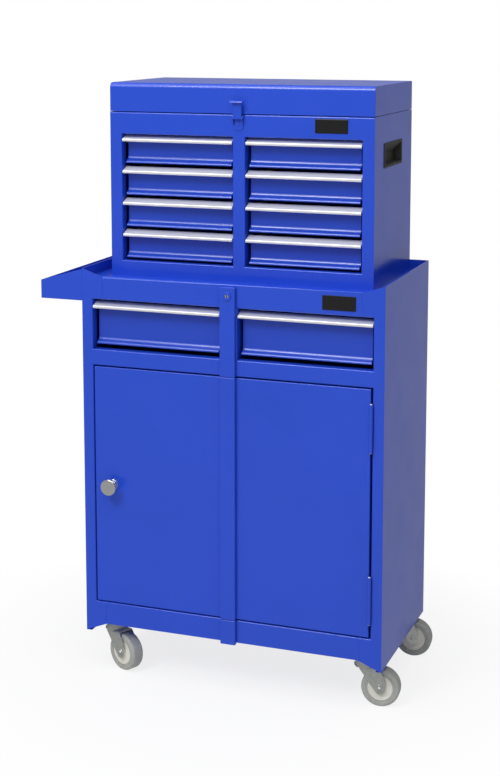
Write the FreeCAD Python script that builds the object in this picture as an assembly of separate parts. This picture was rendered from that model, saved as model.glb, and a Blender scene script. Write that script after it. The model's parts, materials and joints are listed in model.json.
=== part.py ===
"""Tool chest standing in the top tray of a wheeled tool cabinet, all in folded sheet steel.

Millimetres, +Z up, the front faces -Y and +X is to the right of someone who faces it. While the pieces are drawn,
x = 0 is the cabinet's middle plane, y = 0 its front face and z = 0 the floor. At the end everything is moved so
that the origin is the middle of the whole object's box, on the floor.
"""
import FreeCAD, Part
import math
import os
from FreeCAD import Vector

# Sheet and fits
sheet = 1.0                # thickness of every folded panel
fold_gap = 0.3             # gap between pieces that slide past each other
pin_gap = 0.05             # radial running gap of a pin in its bore
seat_gap = 0.05            # radial gap of a round piece that is pressed on another

# Flat sides of the round outlines that nothing runs on, so that the mesh stays light
wheel_sides = 24
small_sides = 16
barrel_sides = 12
bolt_sides = 6

# Casters
wheel_diameter = 75.0
wheel_width = 27.0
hub_diameter = 50.0
caster_height = 102.5      # floor to the underside of the cabinet's floor
caster_trail = 32.0        # from the swivel's axis to the wheel's axle
caster_inset = 44.0        # from the cabinet's sides and front to the swivel's axis
caster_rear_inset = 31.0   # from the cabinet's back to the swivel's axis
caster_plate_x = 60.0
caster_plate_y = 52.0
caster_plate_thick = 3.0
caster_plate_corner = 6.0
cup_radius = 20.0
cup_depth = 6.5
cup_slope = 3.5
king_pin_radius = 5.0
king_head_radius = 8.0
king_head_thick = 3.0
crown_half = 26.0
crown_thick = 3.0
fork_thick = 2.5
fork_wheel_gap = 1.5
fork_end_radius = 10.5
fork_shoulder = 5.0        # height of the fork's straight end under the crown
fork_front = ((-1.0, 39.0), (6.0, 27.0), (10.5, 12.0))   # the front edge's corners, from the axle
axle_radius = 4.0
axle_head_radius = 6.5
axle_head_thick = 3.5
hub_boss_radius = 9.0
hub_web = 20.0
hub_rim = 4.0
hub_below_tyre = 1.0
tread_round = 5.0
caster_turns = {"front_left": -24.0, "front_right": 5.0, "rear_left": 0.0, "rear_right": 5.0}

# Cabinet
cabinet_width = 616.0
cabinet_depth = 330.0
bottom_rail = 45.5
door_opening = 486.0
middle_rail = 32.0
cabinet_row = 100.0        # height of the opening of the two wide drawers
header = 46.0
cabinet_stile = 22.0
cabinet_post = 35.0
door_return = 12.0         # depth of the folded edges round the door's opening
lip_height = 6.0           # front lip above the tray's floor
lip_roll = 6.0             # depth of the rolled edge along the lip
rim_height = 20.0          # side and back rims above the tray's floor
ear_width = 40.0           # sloping ends of the front lip
foot_drop = 18.0           # sides reach this far below the bottom rail
foot_width = 45.0
hem_height = 12.0          # turned-in edge along the rims
foot_flange = 10.0
pan_flange = 12.0          # folded edges of the floors and decks

# Chest
chest_width = 538.0
chest_depth = 271.0
chest_rear_gap = 0.5       # to the turned-in edge of the cabinet's back
chest_bottom_rail = 31.0
chest_row = 62.55
chest_rows = 4
chest_header = 43.3
chest_stile = 24.0
chest_post = 25.0
rim_flange = 12.0          # turned-in edge round the chest's mouth
lid_gap = 1.0
lid_height = 56.0
lid_front_round = 10.0
lid_back_round = 3.0

# Drawers
front_setback = 18.0       # drawer panels stand this far behind the frame's face
drawer_return = 18.5       # depth of the folded edges round the drawers' openings
drawer_side_gap = 6.0      # from the opening's edge to the drawer's side
drawer_flange = 5.0        # outward flange that runs in the rail
rail_web = 11.0
handle_below_top = 2.0     # below the top of the drawer's row
cabinet_handle_below = 5.5
handle_end_gap = 1.5
handle_proud = 1.0
handle_fall = 4.6          # slope of the handle's top, back to front
handle_lip = 8.5
handle_lip_thick = 4.0
handle_wall = 2.0
handle_back = 10.0
nose_height = 8.0          # sloping fold along the panel's foot
nose_forward = 10.0
nose_lip = 1.5
side_below_top = 14.0      # drawer sides end this far below the top of their row
chest_drawer_length = 240.0
chest_drawer_clear = 5.3   # under each drawer
chest_drawer_travel = 190.0
cabinet_drawer_length = 290.0
cabinet_drawer_clear = 10.0
cabinet_drawer_travel = 230.0

# Door
door_gap = 2.6
hinge_side_gap = 4.0
door_fold = 15.0
brace_width = 60.0
brace_depth = 12.0
brace_foot = 14.0
hinge_knuckle_radius = 3.5
hinge_pin_radius = 1.6
hinge_proud = 3.9          # the pin's axis in front of the door's face
hinge_length = 92.0
hinge_leaf = 10.0
hinge_end = 76.5           # middle of each hinge from the end of the door's opening
knob_radius = 16.5
knob_reach = 26.0
knob_head = 7.0
knob_neck_radius = 6.0
knob_base_radius = 11.0
knob_base_thick = 3.0
knob_rim = 4.0
knob_throat = 2.0
knob_round = 1.5
knob_from_edge = 40.0
knob_above_middle = 3.0
catch_width = 40.0
catch_height = 14.0
catch_depth = 20.0
catch_from_edge = 12.0

# Cover strip and key lock on the middle line
strip_width = 31.0
strip_proud = 8.0
strip_split = 0.6          # between the lengths of the strip
strip_over = 1.0           # the door's length of strip reaches past the door by this
strip_below_lip = 4.5
strip_hang = 3.0
lock_below_lip = 22.0
lock_radius = 7.0
lock_flange_radius = 8.5
lock_flange_thick = 2.5
plug_radius = 4.5
key_slot_width = 1.8
key_slot_height = 6.4
key_slot_depth = 12.0
lock_length = 28.0
cam_length = 12.0
cam_width = 9.0
cam_thick = 2.0

# Lid hinge
lid_knuckle_radius = 2.6
lid_pin_radius = 1.25
lid_hinge_length = 510.0
lid_knuckles = 5
lid_leaf = 25.0
knuckle_split = 0.4

# Latch
latch_width = 20.0
latch_plate = 1.5
latch_low = 31.0           # the base's foot below the mouth of the chest
latch_high = 2.5           # the base's top below the mouth
ear_thick = 1.2
latch_pivot_low = 6.5
latch_pivot_out = 5.0
latch_pin_radius = 1.5
latch_barrel = 3.0
lever_thick = 1.6
lever_waist = 18.0
lever_top = 26.5           # the tab above the mouth
tab_width = 25.0
tab_out = 7.0
keeper_width = 14.0
keeper_height = 12.0
keeper_above = 12.0
window_width = 9.0
window_height = 4.0
keeper_nub = 2.2

# Side grips of the chest
grip_length = 128.0
grip_height = 47.0
grip_flange = 3.0
grip_proud = 1.5
grip_depth = 16.0
grip_wall = 1.5
grip_from_mouth = 76.5     # middle of the grip below the mouth of the chest
grip_forward = 7.0         # middle of the grip in front of the chest's middle
grip_slope = 18.0          # how far its top and front walls lean in

# Tray on the left side
tray_reach = 90.0
tray_outer = 37.0
tray_inner = 63.0
tray_below_rim = 65.0

# Levels
half_width = cabinet_width / 2
floor_under = caster_height
rail_under = floor_under - sheet
door_low = rail_under + bottom_rail
door_high = door_low + door_opening
row_low = door_high + middle_rail
row_high = row_low + cabinet_row
lip_top = row_high + header
deck_top = lip_top - lip_height
rim_top = deck_top + rim_height
foot_low = rail_under - foot_drop
back_face = cabinet_depth
inner_back = cabinet_depth - sheet
cabinet_open = half_width - cabinet_stile

chest_half = chest_width / 2
chest_back = inner_back - sheet - chest_rear_gap
chest_front = chest_back - chest_depth
chest_low = deck_top
chest_row_low = chest_low + chest_bottom_rail
chest_row_high = chest_row_low + chest_row * chest_rows
mouth = chest_row_high + chest_header
till_top = chest_row_high + 2 * sheet
chest_open = chest_half - chest_stile
lid_low = mouth + lid_gap
lid_top = lid_low + lid_height

hinge_axis_x = cabinet_open - hinge_side_gap / 2
hinge_axis_y = -hinge_proud
lid_axis_y = chest_back + lid_knuckle_radius
lid_axis_z = mouth + lid_gap / 2
latch_axis_y = chest_front - latch_plate - latch_pivot_out
latch_axis_z = mouth - latch_pivot_low
lock_axis_z = lip_top - lock_below_lip
axle_z = wheel_diameter / 2


def box(x0, x1, y0, y1, z0, z1):
    """A block between two corners."""
    return Part.makeBox(x1 - x0, y1 - y0, z1 - z0, Vector(x0, y0, z0))


def prism(points, direction):
    """A closed outline pushed along a direction."""
    corners = [Vector(*p) for p in points]
    return Part.Face(Part.makePolygon(corners + corners[:1])).extrude(Vector(*direction))


def across(points, x0, x1):
    """An outline of (y, z) points, pushed from x0 to x1."""
    return prism([(x0, y, z) for y, z in points], (x1 - x0, 0, 0))


def upright(points, y0, y1):
    """An outline of (x, z) points, pushed from y0 to y1."""
    return prism([(x, y0, z) for x, z in points], (0, y1 - y0, 0))


def rod(radius, start, direction, length):
    """A truly round bar."""
    return Part.makeCylinder(radius, length, Vector(*start), Vector(*direction))


def turned(points, centre, direction, sides):
    """A closed profile of (radius, height) points turned about an axis in flat sides."""
    step = 2 * math.pi / sides
    faces = []
    for (r0, h0), (r1, h1) in zip(points, points[1:] + points[:1]):
        if r0 == 0 and r1 == 0:
            continue
        for n in range(sides):
            quad = [(r0, h0, n), (r1, h1, n), (r1, h1, n + 1), (r0, h0, n + 1)]
            corners = [Vector(r * math.cos(k * step), r * math.sin(k * step), h) for r, h, k in quad]
            if r0 == 0:
                corners.pop()
            if r1 == 0:
                corners.pop(1)
            faces.append(Part.Face(Part.makePolygon(corners + corners[:1])))
    solid = Part.Solid(Part.Shell(faces)).removeSplitter()
    if solid.Volume < 0:
        solid.reverse()
    solid.Placement = FreeCAD.Placement(Vector(*centre), FreeCAD.Rotation(Vector(0, 0, 1), Vector(*direction)))
    return solid


def bar(radius, start, direction, length, sides=small_sides):
    """A bar with flat sides."""
    return turned([(0, 0), (radius, 0), (radius, length), (0, length)], start, direction, sides)


def bore(radius, start, direction, length):
    """The hole for a thin pin: its flat sides clear the pin's corners by the running gap."""
    return bar((radius + pin_gap) / math.cos(math.pi / barrel_sides), start, direction, length, barrel_sides)


def join(*shapes):
    """Several overlapping or touching shapes as one solid."""
    return shapes[0].fuse(list(shapes[1:])).removeSplitter()


def mirrored(shape):
    """The same piece on the other side of the middle plane."""
    return shape.mirror(Vector(0, 0, 0), Vector(1, 0, 0))


def edges_at(shape, test):
    """The edges whose two ends both pass a test."""
    return [e for e in shape.Edges if len(e.Vertexes) == 2 and all(test(v.Point) for v in e.Vertexes)]


def ring(x0, x1, z0, z1, y0, depth):
    """The folded edge round an opening, one sheet thick, outside the opening."""
    outside = box(x0 - sheet, x1 + sheet, y0, y0 + depth, z0 - sheet, z1 + sheet)
    return outside.cut(box(x0, x1, y0, y0 + depth, z0, z1))


def pan(x0, x1, y0, y1, z0, flange, up):
    """A flat sheet with a folded edge on its two sides and its back."""
    base = box(x0, x1, y0, y1, z0, z0 + sheet)
    low, high = (z0, z0 + flange) if up else (z0 + sheet - flange, z0 + sheet)
    left = box(x0, x0 + sheet, y0, y1, low, high)
    right = box(x1 - sheet, x1, y0, y1, low, high)
    back = box(x0, x1, y1 - sheet, y1, low, high)
    return join(base, left, right, back)


def front_frame(face, outline, openings, returns):
    """A flat frame with folded edges round each opening."""
    frame = upright(outline, face, face + sheet)
    for (x0, x1, z0, z1), depth in zip(openings, returns):
        frame = frame.cut(box(x0, x1, face, face + sheet, z0, z1))
        frame = frame.fuse(ring(x0, x1, z0, z1, face + sheet, depth))
    return frame


def cabinet_front_frame():
    """Stiles, header with a low lip and sloping ears, middle and bottom rails, centre post."""
    outline = [(-half_width, foot_low), (-half_width + foot_width, rail_under),
               (half_width - foot_width, rail_under), (half_width, foot_low),
               (half_width, rim_top), (half_width - ear_width, lip_top),
               (-half_width + ear_width, lip_top), (-half_width, rim_top)]
    post = cabinet_post / 2
    openings = [(-cabinet_open, -post, row_low, row_high), (post, cabinet_open, row_low, row_high),
                (-cabinet_open, cabinet_open, door_low, door_high)]
    frame = front_frame(0.0, outline, openings, [drawer_return, drawer_return, door_return])
    flange = box(-half_width + foot_width, half_width - foot_width, sheet, sheet + door_return,
                 rail_under, rail_under + sheet)
    hem = box(-half_width + ear_width, half_width - ear_width, sheet, lip_roll, deck_top, lip_top)
    hole = rod(lock_radius + fold_gap, (0, -sheet, lock_axis_z), (0, 1, 0), 3 * sheet)
    return join(frame, flange, hem).cut(hole)


def cabinet_shell():
    """Two side panels and the back, each with its turned-in edges."""
    side = box(-half_width, -half_width + sheet, sheet, back_face, foot_low, rim_top)
    hem = box(-half_width + sheet, -half_width + 2 * sheet, sheet, inner_back - sheet,
              rim_top - hem_height, rim_top)
    foot = box(-half_width + sheet, -half_width + sheet + foot_flange, sheet, back_face,
               foot_low, foot_low + sheet)
    left = join(side, hem, foot)
    back = box(-half_width + sheet, half_width - sheet, inner_back, back_face, rail_under, rim_top)
    back_hem = box(-half_width + sheet, half_width - sheet, inner_back - sheet, inner_back,
                   rim_top - hem_height, rim_top)
    return [left, mirrored(left), join(back, back_hem)]


def cabinet_floor():
    """The bottom pan that the casters are bolted to."""
    return pan(-half_width + sheet, half_width - sheet, sheet, inner_back, floor_under, pan_flange, True)


def cabinet_top_deck():
    """The floor of the top tray, which the chest stands on."""
    return pan(-half_width + sheet, half_width - sheet, sheet, inner_back, deck_top - sheet,
               pan_flange, False)


def centre_walls(inner, front, back, low, high):
    """Two upright sheets, back to back with a space between, that carry the inner rails."""
    wall = box(-inner, -inner + sheet, front, back, low, high)
    return [wall, mirrored(wall)]


def cabinet_drawer_deck():
    """The sheet between the drawers and the cupboard, with the centre walls that stand on it."""
    deck = pan(-half_width + sheet, half_width - sheet, sheet, inner_back, door_high + sheet,
               pan_flange, True)
    walls = centre_walls(cabinet_post / 2 - sheet, sheet, inner_back - sheet,
                         door_high + 2 * sheet, deck_top - sheet)
    return [deck] + walls


def rail(edge, side, front, back, flange_top):
    """A C-section runner behind the opening's edge. side is +1 where the drawer lies to its right."""
    low = flange_top - sheet - fold_gap
    high = flange_top + fold_gap
    middle = (low + high) / 2
    web = box(0, sheet, front, back, middle - rail_web / 2, middle + rail_web / 2)
    lower = box(0, drawer_side_gap, front, back, low - sheet, low)
    upper = box(0, drawer_side_gap, front, back, high, high + sheet)
    runner = join(web, lower, upper)
    if side < 0:
        runner = mirrored(runner)
    runner.translate(Vector(edge - side * sheet, 0, 0))
    return runner


def chest_runners():
    """Sixteen runners, one each side of every chest drawer."""
    runners = []
    front = chest_front + sheet + drawer_return
    for row in range(chest_rows):
        flange_top = chest_row_high - row * chest_row - side_below_top
        for edge, side in ((-chest_open, 1), (-chest_post / 2, -1), (chest_post / 2, 1), (chest_open, -1)):
            runners.append(rail(edge, side, front, chest_back - sheet, flange_top))
    return runners


def cabinet_runners():
    """Four runners for the two wide drawers."""
    front = sheet + drawer_return
    flange_top = row_high - side_below_top
    edges = ((-cabinet_open, 1), (-cabinet_post / 2, -1), (cabinet_post / 2, 1), (cabinet_open, -1))
    return [rail(edge, side, front, inner_back, flange_top) for edge, side in edges]


def drawer_box(x0, x1, face, row_top, row_height, clear, length, below):
    """A drawer folded from one sheet: panel with a sloping nose, floor, sides with flanges, back."""
    left = x0 + drawer_side_gap
    right = x1 - drawer_side_gap
    panel_face = face + front_setback
    rear = panel_face + length
    under = row_top - row_height + clear
    side_top = row_top - side_below_top
    panel_top = row_top - below - handle_wall
    nose_low = under + nose_lip
    nose_top = nose_low + nose_height
    nose_face = panel_face - nose_forward
    shell = box(left, right, panel_face, rear, under, side_top)
    shell = shell.cut(box(left + sheet, right - sheet, panel_face + sheet, rear - sheet,
                          under + sheet, side_top))
    panel = box(left, right, panel_face, panel_face + sheet, under, panel_top)
    outer = [(panel_face, nose_top), (nose_face, nose_low), (nose_face, under), (panel_face + sheet, under),
             (panel_face + sheet, nose_top)]
    slope = math.hypot(nose_forward, nose_height)
    rise = sheet * slope / nose_forward
    inner_low = nose_low - rise + nose_height / nose_forward * sheet
    inner = [(panel_face, nose_top - rise), (nose_face + sheet, inner_low), (nose_face + sheet, under + sheet),
             (panel_face, under + sheet)]
    nose = across(outer, left, right).cut(across(inner, left, right))
    left_flange = box(left - drawer_flange, left + sheet, panel_face + sheet, rear, side_top - sheet, side_top)
    right_flange = box(right - sheet, right + drawer_flange, panel_face + sheet, rear,
                       side_top - sheet, side_top)
    return join(shell, panel, nose, left_flange, right_flange)


def drawer_handle(x0, x1, face, row_top, below):
    """An aluminium strip along the drawer's top edge, with a rounded lip to pull on."""
    left = x0 + handle_end_gap
    right = x1 - handle_end_gap
    back = face + front_setback
    front = face - handle_proud
    top = row_top - below
    lip_high = top - handle_fall
    low = lip_high - handle_lip
    inner_lip = front + handle_lip_thick
    drop = handle_fall / (back - front - handle_lip_thick / 2)
    nose = handle_lip_thick / 2
    wire_points = [(back, top), (front + nose, lip_high), (front, lip_high - nose), (front, low + nose),
                   (front + nose, low), (inner_lip, low),
                   (inner_lip, lip_high - handle_wall + drop * nose),
                   (back - handle_wall, top - handle_wall - drop * handle_wall),
                   (back - handle_wall, top - handle_back), (back, top - handle_back)]
    strip = across(wire_points, left, right)
    rounded = edges_at(strip, lambda p: abs(p.y - front) < 0.01)
    lengthwise = [e for e in rounded if abs(e.tangentAt(e.FirstParameter).x) > 0.9]
    return strip.makeFillet(nose * 0.6, lengthwise)


def chest_front_frame():
    """Header, stiles, bottom rail and post in one flat frame, open for two columns of drawers."""
    outline = [(-chest_half, chest_low), (chest_half, chest_low), (chest_half, mouth), (-chest_half, mouth)]
    post = chest_post / 2
    openings = [(-chest_open, -post, chest_row_low, chest_row_high),
                (post, chest_open, chest_row_low, chest_row_high)]
    frame = front_frame(chest_front, outline, openings, [drawer_return, drawer_return])
    flange = box(-chest_half + sheet, chest_half - sheet, chest_front + sheet,
                 chest_front + sheet + rim_flange, mouth - sheet, mouth)
    return join(frame, flange)


def grip_middle():
    """The middle of the side grips, along the depth and in height."""
    return chest_front + chest_depth / 2 - grip_forward, mouth - grip_from_mouth


def chest_shell():
    """Two side panels with the grips' holes, and the back."""
    y, z = grip_middle()
    side = box(-chest_half, -chest_half + sheet, chest_front + sheet, chest_back, chest_low, mouth)
    hole = box(-chest_half, -chest_half + sheet, y - grip_length / 2 + grip_flange,
               y + grip_length / 2 - grip_flange, z - grip_height / 2 + grip_flange,
               z + grip_height / 2 - grip_flange)
    flange = box(-chest_half + sheet, -chest_half + sheet + rim_flange, chest_front + sheet + rim_flange,
                 chest_back - sheet, mouth - sheet, mouth)
    left = join(side, flange).cut(hole)
    back = box(-chest_half + sheet, chest_half - sheet, chest_back - sheet, chest_back, chest_low, mouth)
    back_flange = box(-chest_half + sheet + rim_flange, chest_half - sheet - rim_flange,
                      chest_back - sheet - rim_flange, chest_back - sheet, mouth - sheet, mouth)
    return [left, mirrored(left), join(back, back_flange)]


def chest_inner_panels():
    """The chest's floor pan, its centre walls and the floor of the till under the lid."""
    inside = chest_half - sheet
    rear = chest_back - sheet
    floor = pan(-inside, inside, chest_front + sheet, rear, chest_low, pan_flange, True)
    till = box(-inside, inside, chest_front + sheet, rear, till_top - sheet, till_top)
    walls = centre_walls(chest_post / 2 - sheet, chest_front + sheet, rear - sheet,
                         chest_low + sheet, till_top - sheet)
    return [floor, till] + walls


def pocket(near, far, x0, x1):
    """The room between two four-sided outlines of (y, z) points, one at x0 and one at x1."""
    first = [Vector(x0, y, z) for y, z in near]
    last = [Vector(x1, y, z) for y, z in far]
    outlines = [first, last]
    for n in range(4):
        following = (n + 1) % 4
        outlines.append([first[n], first[following], last[following], last[n]])
    solid = Part.Solid(Part.Shell([Part.Face(Part.makePolygon(o + o[:1])) for o in outlines]))
    if solid.Volume < 0:
        solid.reverse()
    return solid


def side_grip():
    """A recessed plastic grip: a thin rim, and a pocket whose top and front walls lean in."""
    y, z = grip_middle()
    outside = -chest_half
    y0, y1 = y - grip_length / 2, y + grip_length / 2
    z0, z1 = z - grip_height / 2, z + grip_height / 2
    rim = box(outside - grip_proud, outside, y0, y1, z0, z1)
    inset = grip_flange + fold_gap
    bowl = box(outside, outside + grip_depth, y0 + inset, y1 - inset, z0 + inset, z1 - inset)
    wall = inset + grip_wall
    y0, y1, z0, z1 = y0 + wall, y1 - wall, z0 + wall, z1 - wall
    lean_y, lean_z = y0 + grip_slope, z1 - grip_slope
    near = [(y0, z0), (y1, z0), (y1, z1), (y0, z1)]
    far = [(lean_y, z0), (y1, z0), (y1, lean_z), (lean_y, lean_z)]
    room = pocket(near, far, outside - grip_proud, outside + grip_depth - grip_wall)
    return join(rim, bowl).cut(room)


def chest_lid():
    """A folded lid, open below, with a large round along its front edge."""
    body = box(-chest_half, chest_half, chest_front, chest_back, lid_low, lid_top)
    room = box(-chest_half + sheet, chest_half - sheet, chest_front + sheet, chest_back - sheet,
               lid_low, lid_top - sheet)
    for face, radius in ((chest_front, lid_front_round), (chest_back, lid_back_round)):
        body = body.makeFillet(radius, edges_at(body, lambda p: p.z > lid_top - 0.01 and abs(p.y - face) < 0.01))
    for face, radius in ((chest_front + sheet, lid_front_round), (chest_back - sheet, lid_back_round)):
        top = lid_top - sheet
        room = room.makeFillet(radius - sheet,
                               edges_at(room, lambda p: p.z > top - 0.01 and abs(p.y - face) < 0.01))
    return body.cut(room)


def knuckle(radius, pin, centre, direction, length):
    """One rolled barrel of a hinge, with the hole for its pin."""
    barrel = bar(radius, centre, direction, length, barrel_sides)
    return barrel.cut(bore(pin, centre, direction, length))


def lid_hinge_leaf(upper):
    """One leaf of the long rear hinge, with every second knuckle."""
    pitch = lid_hinge_length / lid_knuckles
    clear = lid_knuckle_radius + knuckle_split
    start = -lid_hinge_length / 2
    if upper:
        low, high = lid_axis_z + clear, lid_axis_z + clear + lid_leaf
    else:
        low, high = lid_axis_z - clear - lid_leaf, lid_axis_z - clear
    pieces = [box(start, -start, chest_back, chest_back + sheet, low, high)]
    for n in range(1 if upper else 0, lid_knuckles, 2):
        x0 = start + n * pitch + knuckle_split / 2
        x1 = start + (n + 1) * pitch - knuckle_split / 2
        tab_low, tab_high = (lid_axis_z, low) if upper else (high, lid_axis_z)
        tab = box(x0, x1, chest_back, chest_back + sheet, tab_low, tab_high)
        centre = (x0, lid_axis_y, lid_axis_z)
        tab = tab.cut(bore(lid_pin_radius, centre, (1, 0, 0), x1 - x0))
        pieces += [tab, knuckle(lid_knuckle_radius, lid_pin_radius, centre, (1, 0, 0), x1 - x0)]
    return join(*pieces)


def lid_hinge_body_leaf():
    """The fixed leaf and the long pin."""
    pin = bar(lid_pin_radius, (-lid_hinge_length / 2, lid_axis_y, lid_axis_z), (1, 0, 0), lid_hinge_length,
              barrel_sides)
    return [lid_hinge_leaf(False), pin]


def latch_base():
    """The latch's riveted plate with two ears, and the pivot pin across them."""
    half = latch_width / 2
    low = mouth - latch_low
    high = mouth - latch_high
    back = chest_front
    face = back - latch_plate
    plate = box(-half, half, face, back, low + half, high)
    foot = bar(half, (0, face, low + half), (0, 1, 0), latch_plate)
    ear = box(-half, -half + ear_thick, latch_axis_y, face, latch_axis_z - latch_barrel, latch_axis_z + latch_barrel)
    ear_end = bar(latch_barrel, (-half, latch_axis_y, latch_axis_z), (1, 0, 0), ear_thick, barrel_sides)
    ear = join(ear, ear_end)
    base = join(plate, foot, ear, mirrored(ear))
    pin_hole = bore(latch_pin_radius, (-half, latch_axis_y, latch_axis_z), (1, 0, 0), latch_width)
    pin = bar(latch_pin_radius, (-half, latch_axis_y, latch_axis_z), (1, 0, 0), latch_width, barrel_sides)
    return [base.cut(pin_hole), pin]


def latch_lever():
    """The lever that swings out and down: barrel, waist, window over the keeper, flared pull tab."""
    inner = latch_width / 2 - ear_thick - fold_gap
    waist = lever_waist / 2
    front = latch_axis_y - lever_thick / 2
    back = latch_axis_y + lever_thick / 2
    top = mouth + lever_top
    barrel = bar(latch_barrel, (-inner, latch_axis_y, latch_axis_z), (1, 0, 0), 2 * inner, barrel_sides)
    flare = tab_width / 2
    clear = latch_axis_z + latch_barrel + fold_gap
    shoulder = clear + lever_thick
    right = [(inner, latch_axis_z), (inner, clear), (waist, shoulder), (waist, top - tab_out),
             (flare, top - lever_thick), (flare, top)]
    outline = right + [(-x, z) for x, z in reversed(right)]
    plate = upright(outline, front, back)
    tab = box(-flare, flare, front - tab_out, front, top - lever_thick, top)
    hole = bore(latch_pin_radius, (-inner, latch_axis_y, latch_axis_z), (1, 0, 0), 2 * inner)
    keeper_mid = mouth + keeper_above + keeper_height / 2
    window = box(-window_width / 2, window_width / 2, front, back, keeper_mid - window_height / 2,
                 keeper_mid + window_height / 2)
    return join(barrel, plate, tab).cut(hole).cut(window)


def latch_keeper():
    """The plate on the lid whose raised nub the lever's window drops over."""
    low = mouth + keeper_above
    half = keeper_width / 2
    plate = box(-half, half, chest_front - sheet, chest_front, low, low + keeper_height)
    middle = low + keeper_height / 2
    nub = box(-half / 2, half / 2, chest_front - sheet - keeper_nub, chest_front - sheet,
              middle - window_height / 4, middle + window_height / 4)
    return join(plate, nub)


def cabinet_door():
    """The wide folded door and the hat-shaped brace behind its middle."""
    x0 = -cabinet_open + door_gap
    x1 = cabinet_open - hinge_side_gap
    z0 = door_low + door_gap
    z1 = door_high - door_gap
    skin = box(x0, x1, 0, door_fold, z0, z1).cut(box(x0 + sheet, x1 - sheet, sheet, door_fold,
                                                     z0 + sheet, z1 - sheet))
    half = brace_width / 2
    foot = half + brace_foot
    hat = [(-foot, sheet), (-half, sheet), (-half, sheet + brace_depth - sheet),
           (half, sheet + brace_depth - sheet), (half, sheet), (foot, sheet), (foot, 2 * sheet),
           (half + sheet, 2 * sheet), (half + sheet, sheet + brace_depth), (-half - sheet, sheet + brace_depth),
           (-half - sheet, 2 * sheet), (-foot, 2 * sheet)]
    brace = prism([(x, y, z0 + sheet) for x, y in hat], (0, 0, z1 - z0 - 2 * sheet))
    return [skin, brace]


def strip_length(low, high):
    """A length of the folded cover strip that stands on the front."""
    half = strip_width / 2
    outer = box(-half, half, -strip_proud, 0, low, high)
    return outer.cut(box(-half + sheet, half - sheet, -strip_proud + sheet, 0, low + sheet, high - sheet))


def cover_strips():
    """The two lengths that are fixed to the frame, above and below the door."""
    upper = strip_length(door_high - door_gap + strip_over + strip_split, lip_top - strip_below_lip)
    hole = rod(lock_radius + fold_gap, (0, -strip_proud, lock_axis_z), (0, 1, 0), sheet)
    lower = strip_length(rail_under - strip_hang, door_low + door_gap - strip_over - strip_split)
    return [upper.cut(hole), lower]


def door_strip():
    """The length that rides on the door."""
    return strip_length(door_low + door_gap - strip_over, door_high - door_gap + strip_over)


def door_hinge_middles():
    """The heights of the middles of the two hinges."""
    return door_low + hinge_end, door_high - hinge_end


def door_hinge_leaf(middle, on_door):
    """One leaf of a barrel hinge. The door's leaf has the middle knuckle."""
    third = hinge_length / 3
    low = middle - hinge_length / 2
    inside = hinge_side_gap / 2
    if on_door:
        x0, x1 = hinge_axis_x - inside, hinge_axis_x - inside + sheet
        spans = [(low + third, low + 2 * third)]
    else:
        x0, x1 = hinge_axis_x + inside - sheet, hinge_axis_x + inside
        spans = [(low, low + third), (low + 2 * third, low + hinge_length)]
    pieces = [box(x0, x1, sheet, sheet + hinge_leaf, low, low + hinge_length)]
    for z0, z1 in spans:
        z0 += knuckle_split / 2
        z1 -= knuckle_split / 2
        centre = (hinge_axis_x, hinge_axis_y, z0)
        tab = box(x0, x1, hinge_axis_y, sheet, z0, z1)
        tab = tab.cut(bore(hinge_pin_radius, centre, (0, 0, 1), z1 - z0))
        pieces += [tab, knuckle(hinge_knuckle_radius, hinge_pin_radius, centre, (0, 0, 1), z1 - z0)]
    return join(*pieces)


def door_hinge_frame_leaves():
    """The two fixed leaves with their pins."""
    solids = []
    for middle in door_hinge_middles():
        solids.append(door_hinge_leaf(middle, False))
        foot = (hinge_axis_x, hinge_axis_y, middle - hinge_length / 2)
        solids.append(bar(hinge_pin_radius, foot, (0, 0, 1), hinge_length, barrel_sides))
    return solids


def door_hinge_door_leaves():
    """The two leaves that swing with the door."""
    return [door_hinge_leaf(middle, True) for middle in door_hinge_middles()]


def door_knob():
    """A mushroom knob, turned."""
    head = knob_reach - knob_head
    profile = [(0, 0), (knob_base_radius, 0), (knob_base_radius, knob_base_thick - knob_round),
               (knob_neck_radius + knob_round, knob_base_thick), (knob_neck_radius, knob_base_thick + knob_throat),
               (knob_neck_radius, head - knob_throat), (knob_neck_radius + knob_throat, head),
               (knob_radius, head + knob_round), (knob_radius, head + knob_rim),
               (knob_radius - knob_throat, knob_reach - knob_round / 2), (0, knob_reach)]
    x = -cabinet_open + knob_from_edge
    z = (door_low + door_high) / 2 + knob_above_middle
    return turned(profile, (x, 0, z), (0, -1, 0), wheel_sides)


def door_catch():
    """A magnetic catch under the drawer deck, behind the door's top edge."""
    x0 = -cabinet_open + catch_from_edge
    front = door_fold + fold_gap
    body = box(x0, x0 + catch_width, front, front + catch_depth, door_high + sheet - catch_height, door_high + sheet)
    slot = box(x0 + catch_width * 0.2, x0 + catch_width * 0.8, front, front + 1.0,
               door_high - catch_height * 0.55, door_high - catch_height * 0.35)
    return body.cut(slot)


def lock_cylinder():
    """The lock's body, through the cover strip and the post."""
    face = -strip_proud
    body = bar(lock_radius, (0, face, lock_axis_z), (0, 1, 0), lock_length)
    flange = bar(lock_flange_radius, (0, face - lock_flange_thick, lock_axis_z), (0, 1, 0), lock_flange_thick)
    bore = rod(plug_radius + pin_gap, (0, face - lock_flange_thick, lock_axis_z), (0, 1, 0),
               lock_length + lock_flange_thick)
    return join(body, flange).cut(bore)


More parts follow.
